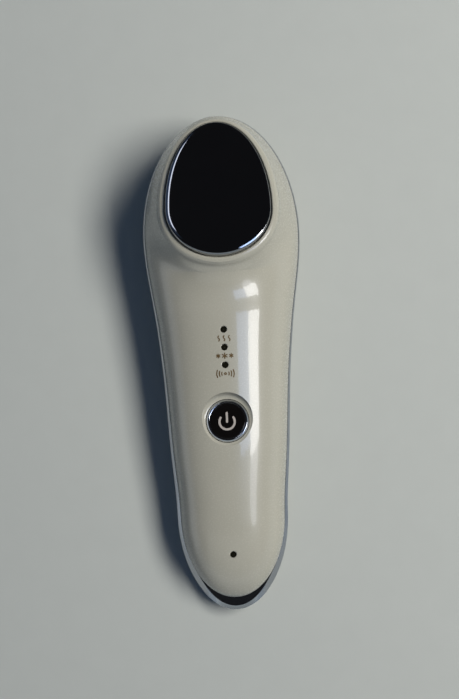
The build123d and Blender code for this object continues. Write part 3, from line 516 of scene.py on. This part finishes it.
def front_casing():
    """Front casing, hollow with posts, with its opening, dish, lamp holes and screw bores."""
    piece = front_solid()
    ease_valley(piece)
    at = rows_at(wall)
    fullness = through(full_y, full_share, full_slopes, at)
    inside = arch_solid("inside", wall, front_rise(at, wall), seam(at) + seam_gap, fullness, 1.0)
    board_posts = [(x, y) for x in (-8.0, 8.0) for y in (14.0, -24.0)]
    posts = [(x, y, post_radius, 5) for x, y, _ in shell_posts]  # x, y, radius, foot
    posts += [(x, y, 1.9, 22.65) for x, y in board_posts]
    posts += [(x, cooler_y, 1.8, 27.5) for x in (-15.2, 15.2)]
    posts.append((0, button_y, 9.2, 24.4))
    for x, y, radius, low in posts:
        cut(inside, column("post", x, y, radius, low, 40, 48))
    cut(piece, inside)
    cut(piece, egg_block("opening", -3.5, 20, 37, 192))
    bowl = ((7.1, 0.0), (7.4, 0.05), (7.8, 0.2), (8.15, 0.42), (8.5, 0.75), (8.8, 1.15), (9.1, 1.65),
            (9.4, 2.25), (9.7, 2.95), (9.95, 3.6))  # radius and rise over the dish's floor
    dish = [(0.01, 20), (7.1, 20), *[(r, dish_floor + rise) for r, rise in bowl], (0.01, dish_floor + 3.6)]
    cut(piece, lathe("dish", 0, button_y, dish, 160))
    for y in (charge_lamp_y, *lamp_ys):
        top = float(front_height(0, y))
        rim = [(lamp_hole + lamp_rim * (1 - cos(a)), top + 0.02 - lamp_rim * (1 - sin(a)))
               for a in (pi / 2 * i / 5 for i in range(6))]
        hole = [(0.01, 10), (lamp_hole, 10), *rim, (1.4, top + 1), (0.01, top + 1)]
        cut(piece, lathe("lamp_hole", 0, y, hole, 48))
    for x, y, seat in shell_posts:
        cut(piece, column("bore", x, y, screw_bore, 5, seat + bore_reach, 32))
    return piece


def rear_casing():
    """Rear casing with a flat rest face, hollow with screw tubes, with counterbores and vents."""
    fullness = np.full(len(rows), back_fullness)
    base = seam(rows) - seam_gap
    piece = arch_solid("rear_casing", 0.0, -back_drop(rows, 0.0), base, fullness, rest=0.0)
    at = rows_at(wall)
    base = seam(at) - seam_gap
    floor = np.maximum(wall, base - back_drop(at, 0.0) + wall)
    inside = arch_solid("inside", wall, np.minimum(floor - base, -0.01), base, fullness, -1.0)
    for x, y, seat in shell_posts:
        cut(inside, column("post", x, y, tube_radius, -1, seat + 1, 48))
        cut(inside, column("post", x, y, post_radius, -1, 30, 48))
    cut(piece, inside)
    for x, y, seat in shell_posts:
        cut(piece, column("counterbore", x, y, counterbore, -1, seat, 64))
        cut(piece, column("bore", x, y, screw_bore, -1, 30, 32))
    for i in range(vent_count):
        x = (i - vent_count // 2) * vent_pitch
        long = sqrt(vent_circle**2 - x**2) - vent_half
        vent = column("vent", x, 0, vent_half, -1, 4, 24)
        for vertex in vent.data.vertices:
            vertex.co.y += (cooler_y + (long if vertex.co.y > 0 else -long)) * MM
        cut(piece, vent)
    return piece


# Width and depth of the band's sloping face, by the turn round the tail in degrees
face_turn = (0, 14, 26, 43, 52, 64, 76, 90)
face_width = (0.95, 1.15, 1.55, 2.1, 2.1, 1.75, 1.45, 1.3)
face_depth = (0.85, 1.05, 1.45, 2.1, 2.0, 0.9, 0.45, 0.42)
head_face_width, head_face_depth = 0.35, 0.5
turn_points, flank_points = 61, 69
easing = 5  # points of the turn on each side that a value is averaged over
band_inner, band_foot = 4.25, 1.2  # how far the band reaches in, and its lower round


def round_tail(values):
    """Values along the turn round the tail, eased."""
    padded = np.pad(np.interp(np.linspace(0, 90, turn_points), face_turn, values), easing, mode="edge")
    window = 2 * easing + 1
    return np.convolve(padded, np.ones(window) / window, mode="valid")


def outline_loop(inset, share, depth_share):
    """Points of the outline, moved in by inset all round and by a share of the sloping face's width, and that
    share of the face's depth there."""
    turn = np.radians(np.linspace(0, 90, turn_points))
    flank = np.linspace(tail_wide, head_wide, flank_points + 2)[1:-1]
    behind = round_tail(face_width)[::-1] * share + inset
    beside = np.interp(flank, flank_places, (face_width[0], head_face_width)) * share + inset
    ahead = head_face_width * share + inset
    depths = [round_tail(face_depth)[::-1], np.interp(flank, flank_places, (face_depth[0], head_face_depth)),
              np.full(turn_points, head_face_depth)]
    tail_y = tail_wide - (tail_reach - behind) * np.sin(turn[::-1])
    tail_x = (flank_half[0] - behind) * np.cos(turn[::-1])
    head_y = head_wide + (head_reach - ahead) * np.sin(turn)
    head_x = (flank_half[-1] - ahead) * np.cos(turn)
    y = np.concatenate([tail_y, flank, head_y])
    x = np.concatenate([tail_x, half_width(flank, beside, 0, 0), head_x])
    depth = np.concatenate(depths) * depth_share
    return [np.concatenate([line, sign * line[-2:0:-1]]) for line, sign in ((x, -1), (y, 1), (depth, 1))]


def side_band():
    """Chrome band: flat on top, a sloping outer face that widens round the tail, rounded below, open in the
    middle."""
    slant = sqrt(1 + seam_slope**2)
    # inset, share of the face's width, height, share of its depth
    profile = [(band_inner, 0.0, band_half, 0.0), (0.0, 1.0, band_half, 0.0)]
    profile += [(0.0, 0.98 * (1 - down), band_half - 0.015, down) for down in (0, 0.25, 0.5, 0.75, 0.94, 1)]
    profile += [(band_foot * (1 - cos(a)), 0.0, -band_half + band_foot * (1 - sin(a)), 0.0)
                for a in (pi / 2 * i / 8 for i in range(9))]
    profile.append((band_inner, 0.0, -band_half, 0.0))
    shape = Shape()
    rings = []
    for inset, share, height, depth_share in profile:
        x, y, depth = outline_loop(inset, share, depth_share)
        rings.append(shape.add(x, y, seam(y) + (height - depth) * slant))
    shape.sleeve(rings + rings[:1])
    piece = from_points("chrome_band", shape.points, shape.faces)
    cut(piece, box("window", (0, -82, 5.85), (8.0, 12.0, 3.0)))
    return piece


plate_round = np.array([0.35, 1.0, 0.3])  # width of the rounded edge at the sides, the heel and the tip
plate_edge, plate_crown = 2.0, 0.167  # height of the rounded edge, and of the crown above it
plate_wall, hollow_depth = 1.8, 1.9


def contact_plate():
    """Black mirror plate, broadly rounded at the heel, its face eased towards the edge, hollow from below."""
    hollow = (-plate_wall, -plate_wall, -plate_wall)
    levels = [(*hollow, plate_under + hollow_depth), (*hollow, plate_under), (0, 0, 0, plate_under)]
    for i in range(17):
        a = pi / 2 * i / 16
        levels.append((*(-plate_round * (1 - cos(a))), plate_top - plate_crown - plate_edge * (1 - sin(a))))
    inward, top = 0.0, plate_top - plate_crown
    for step, up in ((0.2, 0.063), (0.17, 0.034), (0.35, 0.035), (0.4, 0.02), (0.5, 0.01), (0.8, 0.005)):
        inward, top = inward + step, top + up
        levels.append((*(-plate_round - inward), top))
    angles = np.linspace(0, 2 * pi, 257)[:-1]
    shape = Shape()
    rings = [shape.add(*egg_points(angles, side, heel, tip), height) for side, heel, tip, height in levels]
    shape.sleeve(rings)
    shape.face(rings[0])
    shape.face(rings[-1])
    return from_points("mirror_plate", shape.points, shape.faces)


def button_ring():
    """Chrome ring with its stop flange, from (radius, height) points."""
    profile = [(5.2, 23.75), (7.9, 23.75), (7.9, 24.35), (6.9, 24.35), (6.9, 26.85), (6.88, 26.93),
               (6.42, 27.39), (6.34, 27.43), (6.25, 27.45), (6.0, 27.45), (5.94, 27.43), (5.9, 27.37),
               (5.9, 26.37), (5.2, 26.37)]
    return lathe("button_chrome_ring", 0, button_y, profile, 160)


def button_cap():
    """Black cap, a flat face with a small round edge."""
    profile = [(5.8, 26.42), (5.8, 27.28), (5.76, 27.4), (5.68, 27.47), (5.56, button_top), (5.4, button_top)]
    shape = Shape()
    turns_round = np.linspace(0, 2 * pi, 161)[:-1]
    rings = [shape.add(r * np.cos(turns_round), button_y + r * np.sin(turns_round), z) for r, z in profile]
    shape.sleeve(rings)
    shape.face(rings[0])
    shape.face(rings[-1])
    return from_points("button_black_cap", shape.points, shape.faces)


# Flat marks: strokes with round ends, laid on the surface that carries them


def stroke(points, width):
    """Both edges of a stroke of that width along the points, its line, and its direction at each point."""
    points = [Vector(p) for p in points]
    last = len(points) - 1
    ahead = [(points[min(i + 1, last)] - points[max(i - 1, 0)]).normalized() for i in range(len(points))]
    half = width / 2
    right = [p + Vector((d.y, -d.x)) * half for p, d in zip(points, ahead)]
    left = [p - Vector((d.y, -d.x)) * half for p, d in zip(points, ahead)]
    return right, left, points, ahead


def marks(name, strokes, width, height, lift=0.02, depth=0.06):
    """Thin raised marks: each stroke is a ribbon with round ends, lift above the surface's height."""
    shape = Shape()
    for points in strokes:
        right, left, line, ahead = stroke(points, width)
        tops, feet = [], []
        for edge in (right, left):
            x, y = np.array([p.x for p in edge]), np.array([p.y for p in edge])
            z = height(x, y)
            tops.append(shape.add(x, y, z + lift))
            feet.append(shape.add(x, y, z - depth))
        shape.strip(tops[0], tops[1])
        shape.strip(feet[0], feet[1])
        shape.strip(tops[0], feet[0])
        shape.strip(tops[1], feet[1])
        for end, sense in ((0, -1), (-1, 1)):
            out = ahead[end] * sense
            a0 = atan2(out.y, out.x)
            turn = [a0 - pi / 2 * sense * (1 - 2 * i / 8) for i in range(9)]
            cx, cy = line[end].x, line[end].y
            x = np.array([cx + width / 2 * cos(a) for a in turn])
            y = np.array([cy + width / 2 * sin(a) for a in turn])
            z = height(x, y)
            top, foot = shape.add(x, y, z + lift), shape.add(x, y, z - depth)
            shape.strip(top, foot)
            shape.face(top)
            shape.face(foot)
    return from_points(name, shape.points, shape.faces)


def arc_line(x, y, radius, start, end, steps):
    """Points along an arc, from start to end in degrees."""
    angles = [radians(start + (end - start) * i / steps) for i in range(steps + 1)]
    return [(x + radius * cos(a), y + radius * sin(a)) for a in angles]


def power_symbol():
    """Open ring with an upright stroke in its gap."""
    x, y, radius, bar = -0.15, button_y - 0.23, 2.48, 2.85
    strokes = [arc_line(x, y, radius, 146, 394, 64), [(x, y + bar), (x, y)]]
    return marks("power_symbol", strokes, 0.7, lambda x, y: np.full(np.shape(x), button_top))


def snow_star(x, y, size):
    """Three strokes through a point."""
    return [[(x - size * cos(a), y - size * sin(a)), (x + size * cos(a), y + size * sin(a))]
            for a in (pi / 2, pi / 2 + pi / 3, pi / 2 - pi / 3)]


def mode_marks():
    """Plain pictograms in the places of the three mode words: heat, cold and vibration."""
    heat_y, cold_y, buzz_y = 9.35, 3.75, -2.0
    sway, half_arc = 0.24, 24
    lines = []
    for x in (-1.7, 0.0, 1.7):
        lines.append([(x + sway * sin(2 * pi * i / 16), heat_y - 0.8 + 1.6 * i / 16) for i in range(17)])
    for x, size in ((0, 0.85), (-2.1, 0.6), (2.1, 0.6)):
        lines += snow_star(x, cold_y, size)
    for middle in (0, 180):
        for radius in (1.2, 2.0, 2.8):
            lines.append(arc_line(0, buzz_y, radius, middle - half_arc, middle + half_arc, 10))
    lines.append(arc_line(0, buzz_y, 0.3, 0, 350, 12))
    return marks("mode_marks", lines, 0.38, front_height, lift=0.015, depth=0.05)


# Materials


def linear(colour):
    """sRGB hex to linear colour."""
    parts = [int(colour[i:i + 2], 16) / 255 for i in (1, 3, 5)]
    return [p / 12.92 if p <= 0.04045 else ((p + 0.055) / 1.055) ** 2.4 for p in parts] + [1.0]


def add_node(tree, kind, links=(), **settings):
    """Adds a node. Settings are its properties; links are (socket, value or the socket that feeds it)."""
    node = tree.nodes.new(kind)
    for name, value in settings.items():
        setattr(node, name, value)
    for socket, value in links:
        if isinstance(value, bpy.types.NodeSocket):
            tree.links.new(value, node.inputs[socket])
        else:
            node.inputs[socket].default_value = value
    return node


def finish(name, colour, shade, grain, rough, relief, stretch=(1, 1, 1), **shader):
    """Surface whose colour wanders between two tones over about 9 mm, with a grain of that size, roughness
    between two values, and relief of that depth, both sizes in millimetres."""
    material = bpy.data.materials.new(name)
    material.use_nodes = True
    tree = material.node_tree
    tree.nodes.clear()
    out = add_node(tree, "ShaderNodeOutputMaterial")
    own = [(key.replace("_", " "), value) for key, value in shader.items()]
    surface = add_node(tree, "ShaderNodeBsdfPrincipled", own)
    tree.links.new(surface.outputs[0], out.inputs["Surface"])
    place = add_node(tree, "ShaderNodeTexCoord").outputs["Object"]
    size = [s / (grain * MM) for s in stretch]
    scaled = add_node(tree, "ShaderNodeMapping", [("Vector", place), ("Scale", size)])
    noise = add_node(tree, "ShaderNodeTexNoise", [
        ("Vector", scaled.outputs[0]), ("Scale", 1.0), ("Detail", 4.0), ("Roughness", 0.55)])
    wide = add_node(tree, "ShaderNodeTexNoise", [("Vector", place), ("Scale", 1 / (9 * MM)), ("Detail", 3.0)])
    tone = add_node(tree, "ShaderNodeMix", [
        (0, wide.outputs["Fac"]), (6, linear(colour)), (7, linear(shade))], data_type="RGBA")
    tree.links.new(tone.outputs[2], surface.inputs["Base Color"])
    gloss = add_node(tree, "ShaderNodeMapRange", [
        ("Value", noise.outputs["Fac"]), ("From Min", 0.3), ("From Max", 0.7), ("To Min", rough[0]),
        ("To Max", rough[1])])
    tree.links.new(gloss.outputs["Result"], surface.inputs["Roughness"])
    bump = add_node(tree, "ShaderNodeBump", [
        ("Height", noise.outputs["Fac"]), ("Strength", 1.0), ("Distance", relief * MM)])
    tree.links.new(bump.outputs["Normal"], surface.inputs["Normal"])
    if "Coat_Weight" in shader:
        tree.links.new(bump.outputs["Normal"], surface.inputs["Coat Normal"])
    return material


# Pearl-white glossy plastic: a warm grey-white body under a clear coat, which gives crisp window reflections.
# The pearl flakes are about 0.05 mm. They are drawn at 0.45 mm, because at their own size they fall between
# the pixels.
pearl = finish("pearl_ABS", "#b4b2a7", "#afada1", 0.45, (0.22, 0.30), 0.003, Coat_Weight=0.6,
               Coat_Roughness=0.03, IOR=1.49)
# Bright chrome plating: dark and pale by what it mirrors, with the faint orange peel of plated plastic
chrome = finish("bright_chrome_plating", "#cfd2d6", "#c5c8cd", 1.5, (0.05, 0.09), 0.0004, Metallic=1.0)
# Brushed satin chrome: the same metal with fine lines along the length, an even silver without a mirror image
satin = finish("brushed_satin_chrome", "#b8bbc0", "#abaeb4", 0.12, (0.16, 0.26), 0.0008, (1, 0.12, 1),
               Metallic=1.0)
# Polished dark metal: a black mirror that only shows the windows along its edge
mirror = finish("black_chrome_mirror", "#97999d", "#909297", 4.0, (0.03, 0.05), 0.0002, Metallic=1.0)
# Piano-black plastic: a deep, even black with a glassy skin
black = finish("piano_black_ABS", "#0c0b0b", "#100e0e", 0.8, (0.05, 0.08), 0.0003, IOR=1.5)
# Printing inks: matt, dull against the glossy skin, with the grain of a pad print; the gold one has a metal
# glint
print_grey = finish("symbol_print", "#b4ada8", "#aca5a0", 0.15, (0.45, 0.6), 0.002)
print_gold = finish("gold_brown_print", "#6a5430", "#5e4a2a", 0.15, (0.4, 0.55), 0.002, Metallic=0.3)
# Grains of 0.15 to 0.5 mm below are up to five times the real ones, so that they show in a near view
slot_finishes = {
    "pearl_shell": pearl,
    "chrome_trim": chrome,
    "plate_mirror": mirror,
    "button_black": black,
    # Rubbers: dark, dull, without a clear reflection
    "seal_rubber": finish("silicone_rubber", "#2a2b2c", "#242526", 0.4, (0.55, 0.7), 0.004),
    "boot_rubber": finish("moulded_rubber", "#232425", "#1d1e1f", 0.4, (0.6, 0.75), 0.005),
    # Soft thermal pad: chalky grey-blue, a little uneven
    "thermal_pad": finish("silicone_thermal_pad", "#9aa7ad", "#8f9ca3", 0.3, (0.6, 0.75), 0.006),
    # Alumina: off-white, fine and matt like unglazed china
    "module_ceramic": finish("alumina_ceramic", "#e6e4dd", "#dedbd2", 0.2, (0.45, 0.6), 0.003),
    # Bismuth telluride: a dark silvery metal with a crystalline break
    "pellet_metal": finish("bismuth_telluride", "#8b8c90", "#77787d", 0.3, (0.3, 0.45), 0.004, Metallic=1.0),
    # Epoxies: a glossy brown drop, and the dull black of a moulded chip
    "sensor_bead": finish("epoxy_bead", "#3a2a1c", "#322418", 0.3, (0.2, 0.3), 0.002),
    "chip_black": finish("moulded_epoxy", "#1d1e20", "#181a1b", 0.2, (0.45, 0.6), 0.004),
    # Extruded aluminium: pale grey, die lines along the fins
    "sink_aluminium": finish("extruded_aluminium", "#c4c6c8", "#b8babd", 0.3, (0.3, 0.42), 0.003,
                             (1, 0.08, 1), Metallic=1.0),
    # Steels: zinc is blue-grey and soft, drawn steel brighter with lines, nickel warm and smooth
    "screw_steel": finish("zinc_plated_steel", "#a9abad", "#9b9da0", 0.25, (0.25, 0.38), 0.003, Metallic=1.0),
    "motor_steel": finish("drawn_steel", "#b4b6b8", "#a6a8ab", 0.3, (0.2, 0.32), 0.002, (1, 0.1, 1),
                          Metallic=1.0),
    "socket_steel": finish("nickel_plated_steel", "#b7b3ab", "#aaa69e", 0.3, (0.18, 0.28), 0.002,
                           Metallic=1.0),
    # Engineering plastics: even colours with a half-matt moulded skin
    "fan_plastic": finish("glass_filled_PBT", "#1c1d1f", "#17181a", 0.3, (0.4, 0.55), 0.004),
    "switch_body": finish("switch_nylon", "#2b2c2e", "#252628", 0.3, (0.4, 0.5), 0.003),
    "switch_plunger": finish("switch_acetal", "#8e2f2a", "#842a26", 0.3, (0.35, 0.45), 0.002),
    "cap_plastic": finish("cap_nylon", "#e1ded5", "#d8d4c9", 0.3, (0.4, 0.5), 0.003),
    "shield_white": finish("white_polycarbonate", "#e2e2de", "#dadad5", 0.3, (0.35, 0.45), 0.002),
    # Turned brass and varnished copper wire: warm metals, the winding ribbed across
    "bush_brass": finish("turned_brass", "#c9a45c", "#bb954e", 0.2, (0.2, 0.3), 0.002, Metallic=1.0),
    "stator_copper": finish("enamelled_copper", "#a5612f", "#8f5227", 0.2, (0.25, 0.4), 0.02, (1, 1, 4),
                            Metallic=0.8),
    # Circuit board: green lacquer, glossy, with the weave just felt through it
    "board_green": finish("solder_mask_on_FR4", "#1e5a36", "#194e2e", 0.5, (0.25, 0.35), 0.004),
    # Lamp bodies: milky, smooth epoxy
    "led_body": finish("lamp_epoxy", "#d8d6c8", "#cfccbb", 0.3, (0.15, 0.25), 0.001, IOR=1.55),
    # Smoked acrylic: nearly black while the lamps are off, glassy
    "smoked_guide": finish("smoked_acrylic", "#14140f", "#1b1a12", 0.6, (0.08, 0.14), 0.0006, IOR=1.49),
    # Sintered tungsten: dark grey, grainy and dull
    "weight_metal": finish("sintered_tungsten", "#77787b", "#6a6b6f", 0.15, (0.4, 0.55), 0.01, Metallic=1.0),
    # Pouch foil: soft silver, slightly crumpled
    "battery_foil": finish("aluminium_laminate", "#b9bbbd", "#acafb2", 1.2, (0.3, 0.42), 0.03, Metallic=1.0),
    # Foam: off-white, open and quite matt
    "foam_tape": finish("foam_tape", "#e6e4dc", "#d9d6cc", 0.2, (0.75, 0.9), 0.03),
}


def dress(piece, angle, material, body, slot, *nodes):
    """Gives the piece the angle up to which it is shaded smooth, its finish and the body it rides on, and
    hides the nodes it stands for. The slot in the record is not used."""
    smooth(piece, angle)
    piece.data.materials.clear()
    piece.data.materials.append(material)
    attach(piece, body)
    if nodes:
        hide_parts(*nodes)
    return piece


# Pieces

dress(front_casing(), 32, pearl, "casing", "pearl_shell", "front_shell")
dress(rear_casing(), 32, pearl, "casing", "pearl_shell", "rear_shell")

band = dress(side_band(), 20, chrome, "casing", "chrome_trim", "side_band")
band.data.materials.append(satin)
for face in band.data.polygons:  # the sloping face is brushed
    lowest = seam(face.center.y / MM) * MM - 0.6 * MM
    face.material_index = int(0.1 < face.normal.z < 0.96 and face.center.z > lowest)

dress(contact_plate(), 35, mirror, "casing", "plate_mirror", "contact_plate")
dress(button_ring(), 35, chrome, "button", "chrome_trim", "button_ring")
dress(button_cap(), 35, black, "button", "button_black", "button_cap")
dress(power_symbol(), 35, print_grey, "button", "button_black")
dress(mode_marks(), 35, print_gold, "casing", "pearl_shell")

node_slots = {row["node"]: row["material_slot"] for row in frame["record"]["subparts"]}
for name, node in frame["nodes"].items():
    if not node.hide_render:
        for place in node.material_slots:
            place.material = slot_finishes[node_slots[name]]

# Floor, light and camera

bpy.ops.object.select_all(action="DESELECT")
bpy.ops.mesh.primitive_plane_add(size=6.0, location=(0, 0, 0))
floor = bpy.context.object
floor.name = "floor"
paper = finish("matt_paper", "#bec2c0", "#babebc", 2.0, (0.85, 0.95), 0.01)
floor.data.materials.append(paper)


def shown(tree):
    """1 where the eye looks, straight or by a mirror or glass, and 0 for light that falls on something."""
    seen = add_node(tree, "ShaderNodeLightPath").outputs
    either = add_node(tree, "ShaderNodeMath", [(0, seen["Is Camera Ray"]), (1, seen["Is Glossy Ray"])],
                      operation="MAXIMUM")
    return add_node(tree, "ShaderNodeMath", [(0, either.outputs[0]), (1, seen["Is Transmission Ray"])],
                    operation="MAXIMUM").outputs[0]


# Far from the object the floor passes into the pale backdrop
horizon = "#a9b2b8"
tree = paper.node_tree
out = next(node for node in tree.nodes if node.type == "OUTPUT_MATERIAL")
place = add_node(tree, "ShaderNodeTexCoord").outputs["Object"]
away = add_node(tree, "ShaderNodeVectorMath", [(0, place)], operation="LENGTH")
far = add_node(tree, "ShaderNodeMapRange", [
    ("Value", away.outputs["Value"]), ("From Min", 0.35), ("From Max", 1.3)], interpolation_type="SMOOTHSTEP")
share = add_node(tree, "ShaderNodeMath", [(0, far.outputs["Result"]), (1, shown(tree))], operation="MULTIPLY")
glow = add_node(tree, "ShaderNodeEmission", [("Color", linear(horizon)), ("Strength", 1.0)])
joined = add_node(tree, "ShaderNodeMixShader", [
    (0, share.outputs[0]), (1, out.inputs["Surface"].links[0].from_socket), (2, glow.outputs[0])])
tree.links.new(joined.outputs[0], out.inputs["Surface"])

# The room: mirrors and the camera see it pale at the horizon and dark overhead, and it lights the object only
# dimly, in blue
world = bpy.data.worlds.new("studio")
bpy.context.scene.world = world
world.use_nodes = True
sky = world.node_tree
sky.nodes.clear()
direction = add_node(sky, "ShaderNodeTexCoord").outputs["Generated"]
upward = add_node(sky, "ShaderNodeSeparateXYZ", [("Vector", direction)]).outputs["Z"]
ramp = add_node(sky, "ShaderNodeValToRGB", [("Fac", upward)])
stops = ramp.color_ramp.elements
stops[0].position, stops[0].color = 0.0, linear(horizon)
stops[1].position, stops[1].color = 1.0, linear("#1e1e20")
for position, colour in ((0.28, "#a2acb4"), (0.42, "#3d4753"), (0.55, "#1e2024")):
    stop = stops.new(position)
    stop.color = linear(colour)
dim = add_node(sky, "ShaderNodeBackground", [("Color", linear("#2f3e53")), ("Strength", 1.0)])
backdrop = add_node(sky, "ShaderNodeBackground", [("Color", ramp.outputs["Color"]), ("Strength", 1.0)])
mixed = add_node(sky, "ShaderNodeMixShader", [(0, shown(sky)), (1, dim.outputs[0]), (2, backdrop.outputs[0])])
add_node(sky, "ShaderNodeOutputWorld", [("Surface", mixed.outputs[0])])


def panel(name, place, size, radiance, colour, shown_only=True):
    """Flat lamp of that size and radiance, facing down; one that is shown only lights by its reflections."""
    lamp = bpy.data.lights.new(name, "AREA")
    lamp.shape = "RECTANGLE"
    lamp.size, lamp.size_y = size
    lamp.energy = radiance * pi * size[0] * size[1]
    lamp.color = linear(colour)[:3]
    holder = bpy.data.objects.new(name, lamp)
    bpy.context.collection.objects.link(holder)
    holder.location = place
    holder.visible_diffuse = not shown_only
    return holder


key = panel("key", (0.78, 0.22, 1.15), (0.48, 0.85), 18.5, "#fffcf4", False)
key.visible_glossy = False
panel("window_bright", (0.63, -0.315, 1.2), (0.40, 0.23), 12.0, "#ffffff")
panel("window_pale", (0.30, -0.30, 1.2), (0.26, 0.20), 4.8, "#bcd4ff")
panel("window_low", (0.59, -0.47, 1.2), (0.32, 0.36), 2.6, "#f0f4ff").data.shape = "ELLIPSE"
panel("left_window", (-0.225, 0.23, 1.1), (0.08, 0.30), 2.6, "#eef2ff")
panel("left_wall", (-0.65, 0.25, 1.1), (0.80, 0.60), 0.2, "#8aaee6")
panel("tail_wall", (0.0, -1.0, 0.75), (1.60, 1.0), 0.42, "#e6ece8").rotation_euler = (radians(53), 0, 0)
panel("left_low", (-1.0, -0.1, 0.28), (0.5, 1.3), 0.35, "#e2e6f2").rotation_euler = (0, radians(-80), 0)

photo_height, focal_pixels, sensor = 699, 1152.0, 36.0
camera_data = bpy.data.cameras.new("camera")
camera_data.sensor_fit = "VERTICAL"
camera_data.sensor_height = sensor
camera_data.lens = sensor * focal_pixels / photo_height
camera = bpy.data.objects.new("camera", camera_data)
bpy.context.collection.objects.link(camera)
camera.location = (0.0113, 0.0057, 0.400)
lean, roll = Matrix.Rotation(radians(1.5), 4, "Y"), Matrix.Rotation(radians(-2.26), 4, "Z")
camera.rotation_euler = (lean @ roll).to_euler()
bpy.context.scene.camera = camera
bpy.context.scene.view_settings.view_transform = "Standard"
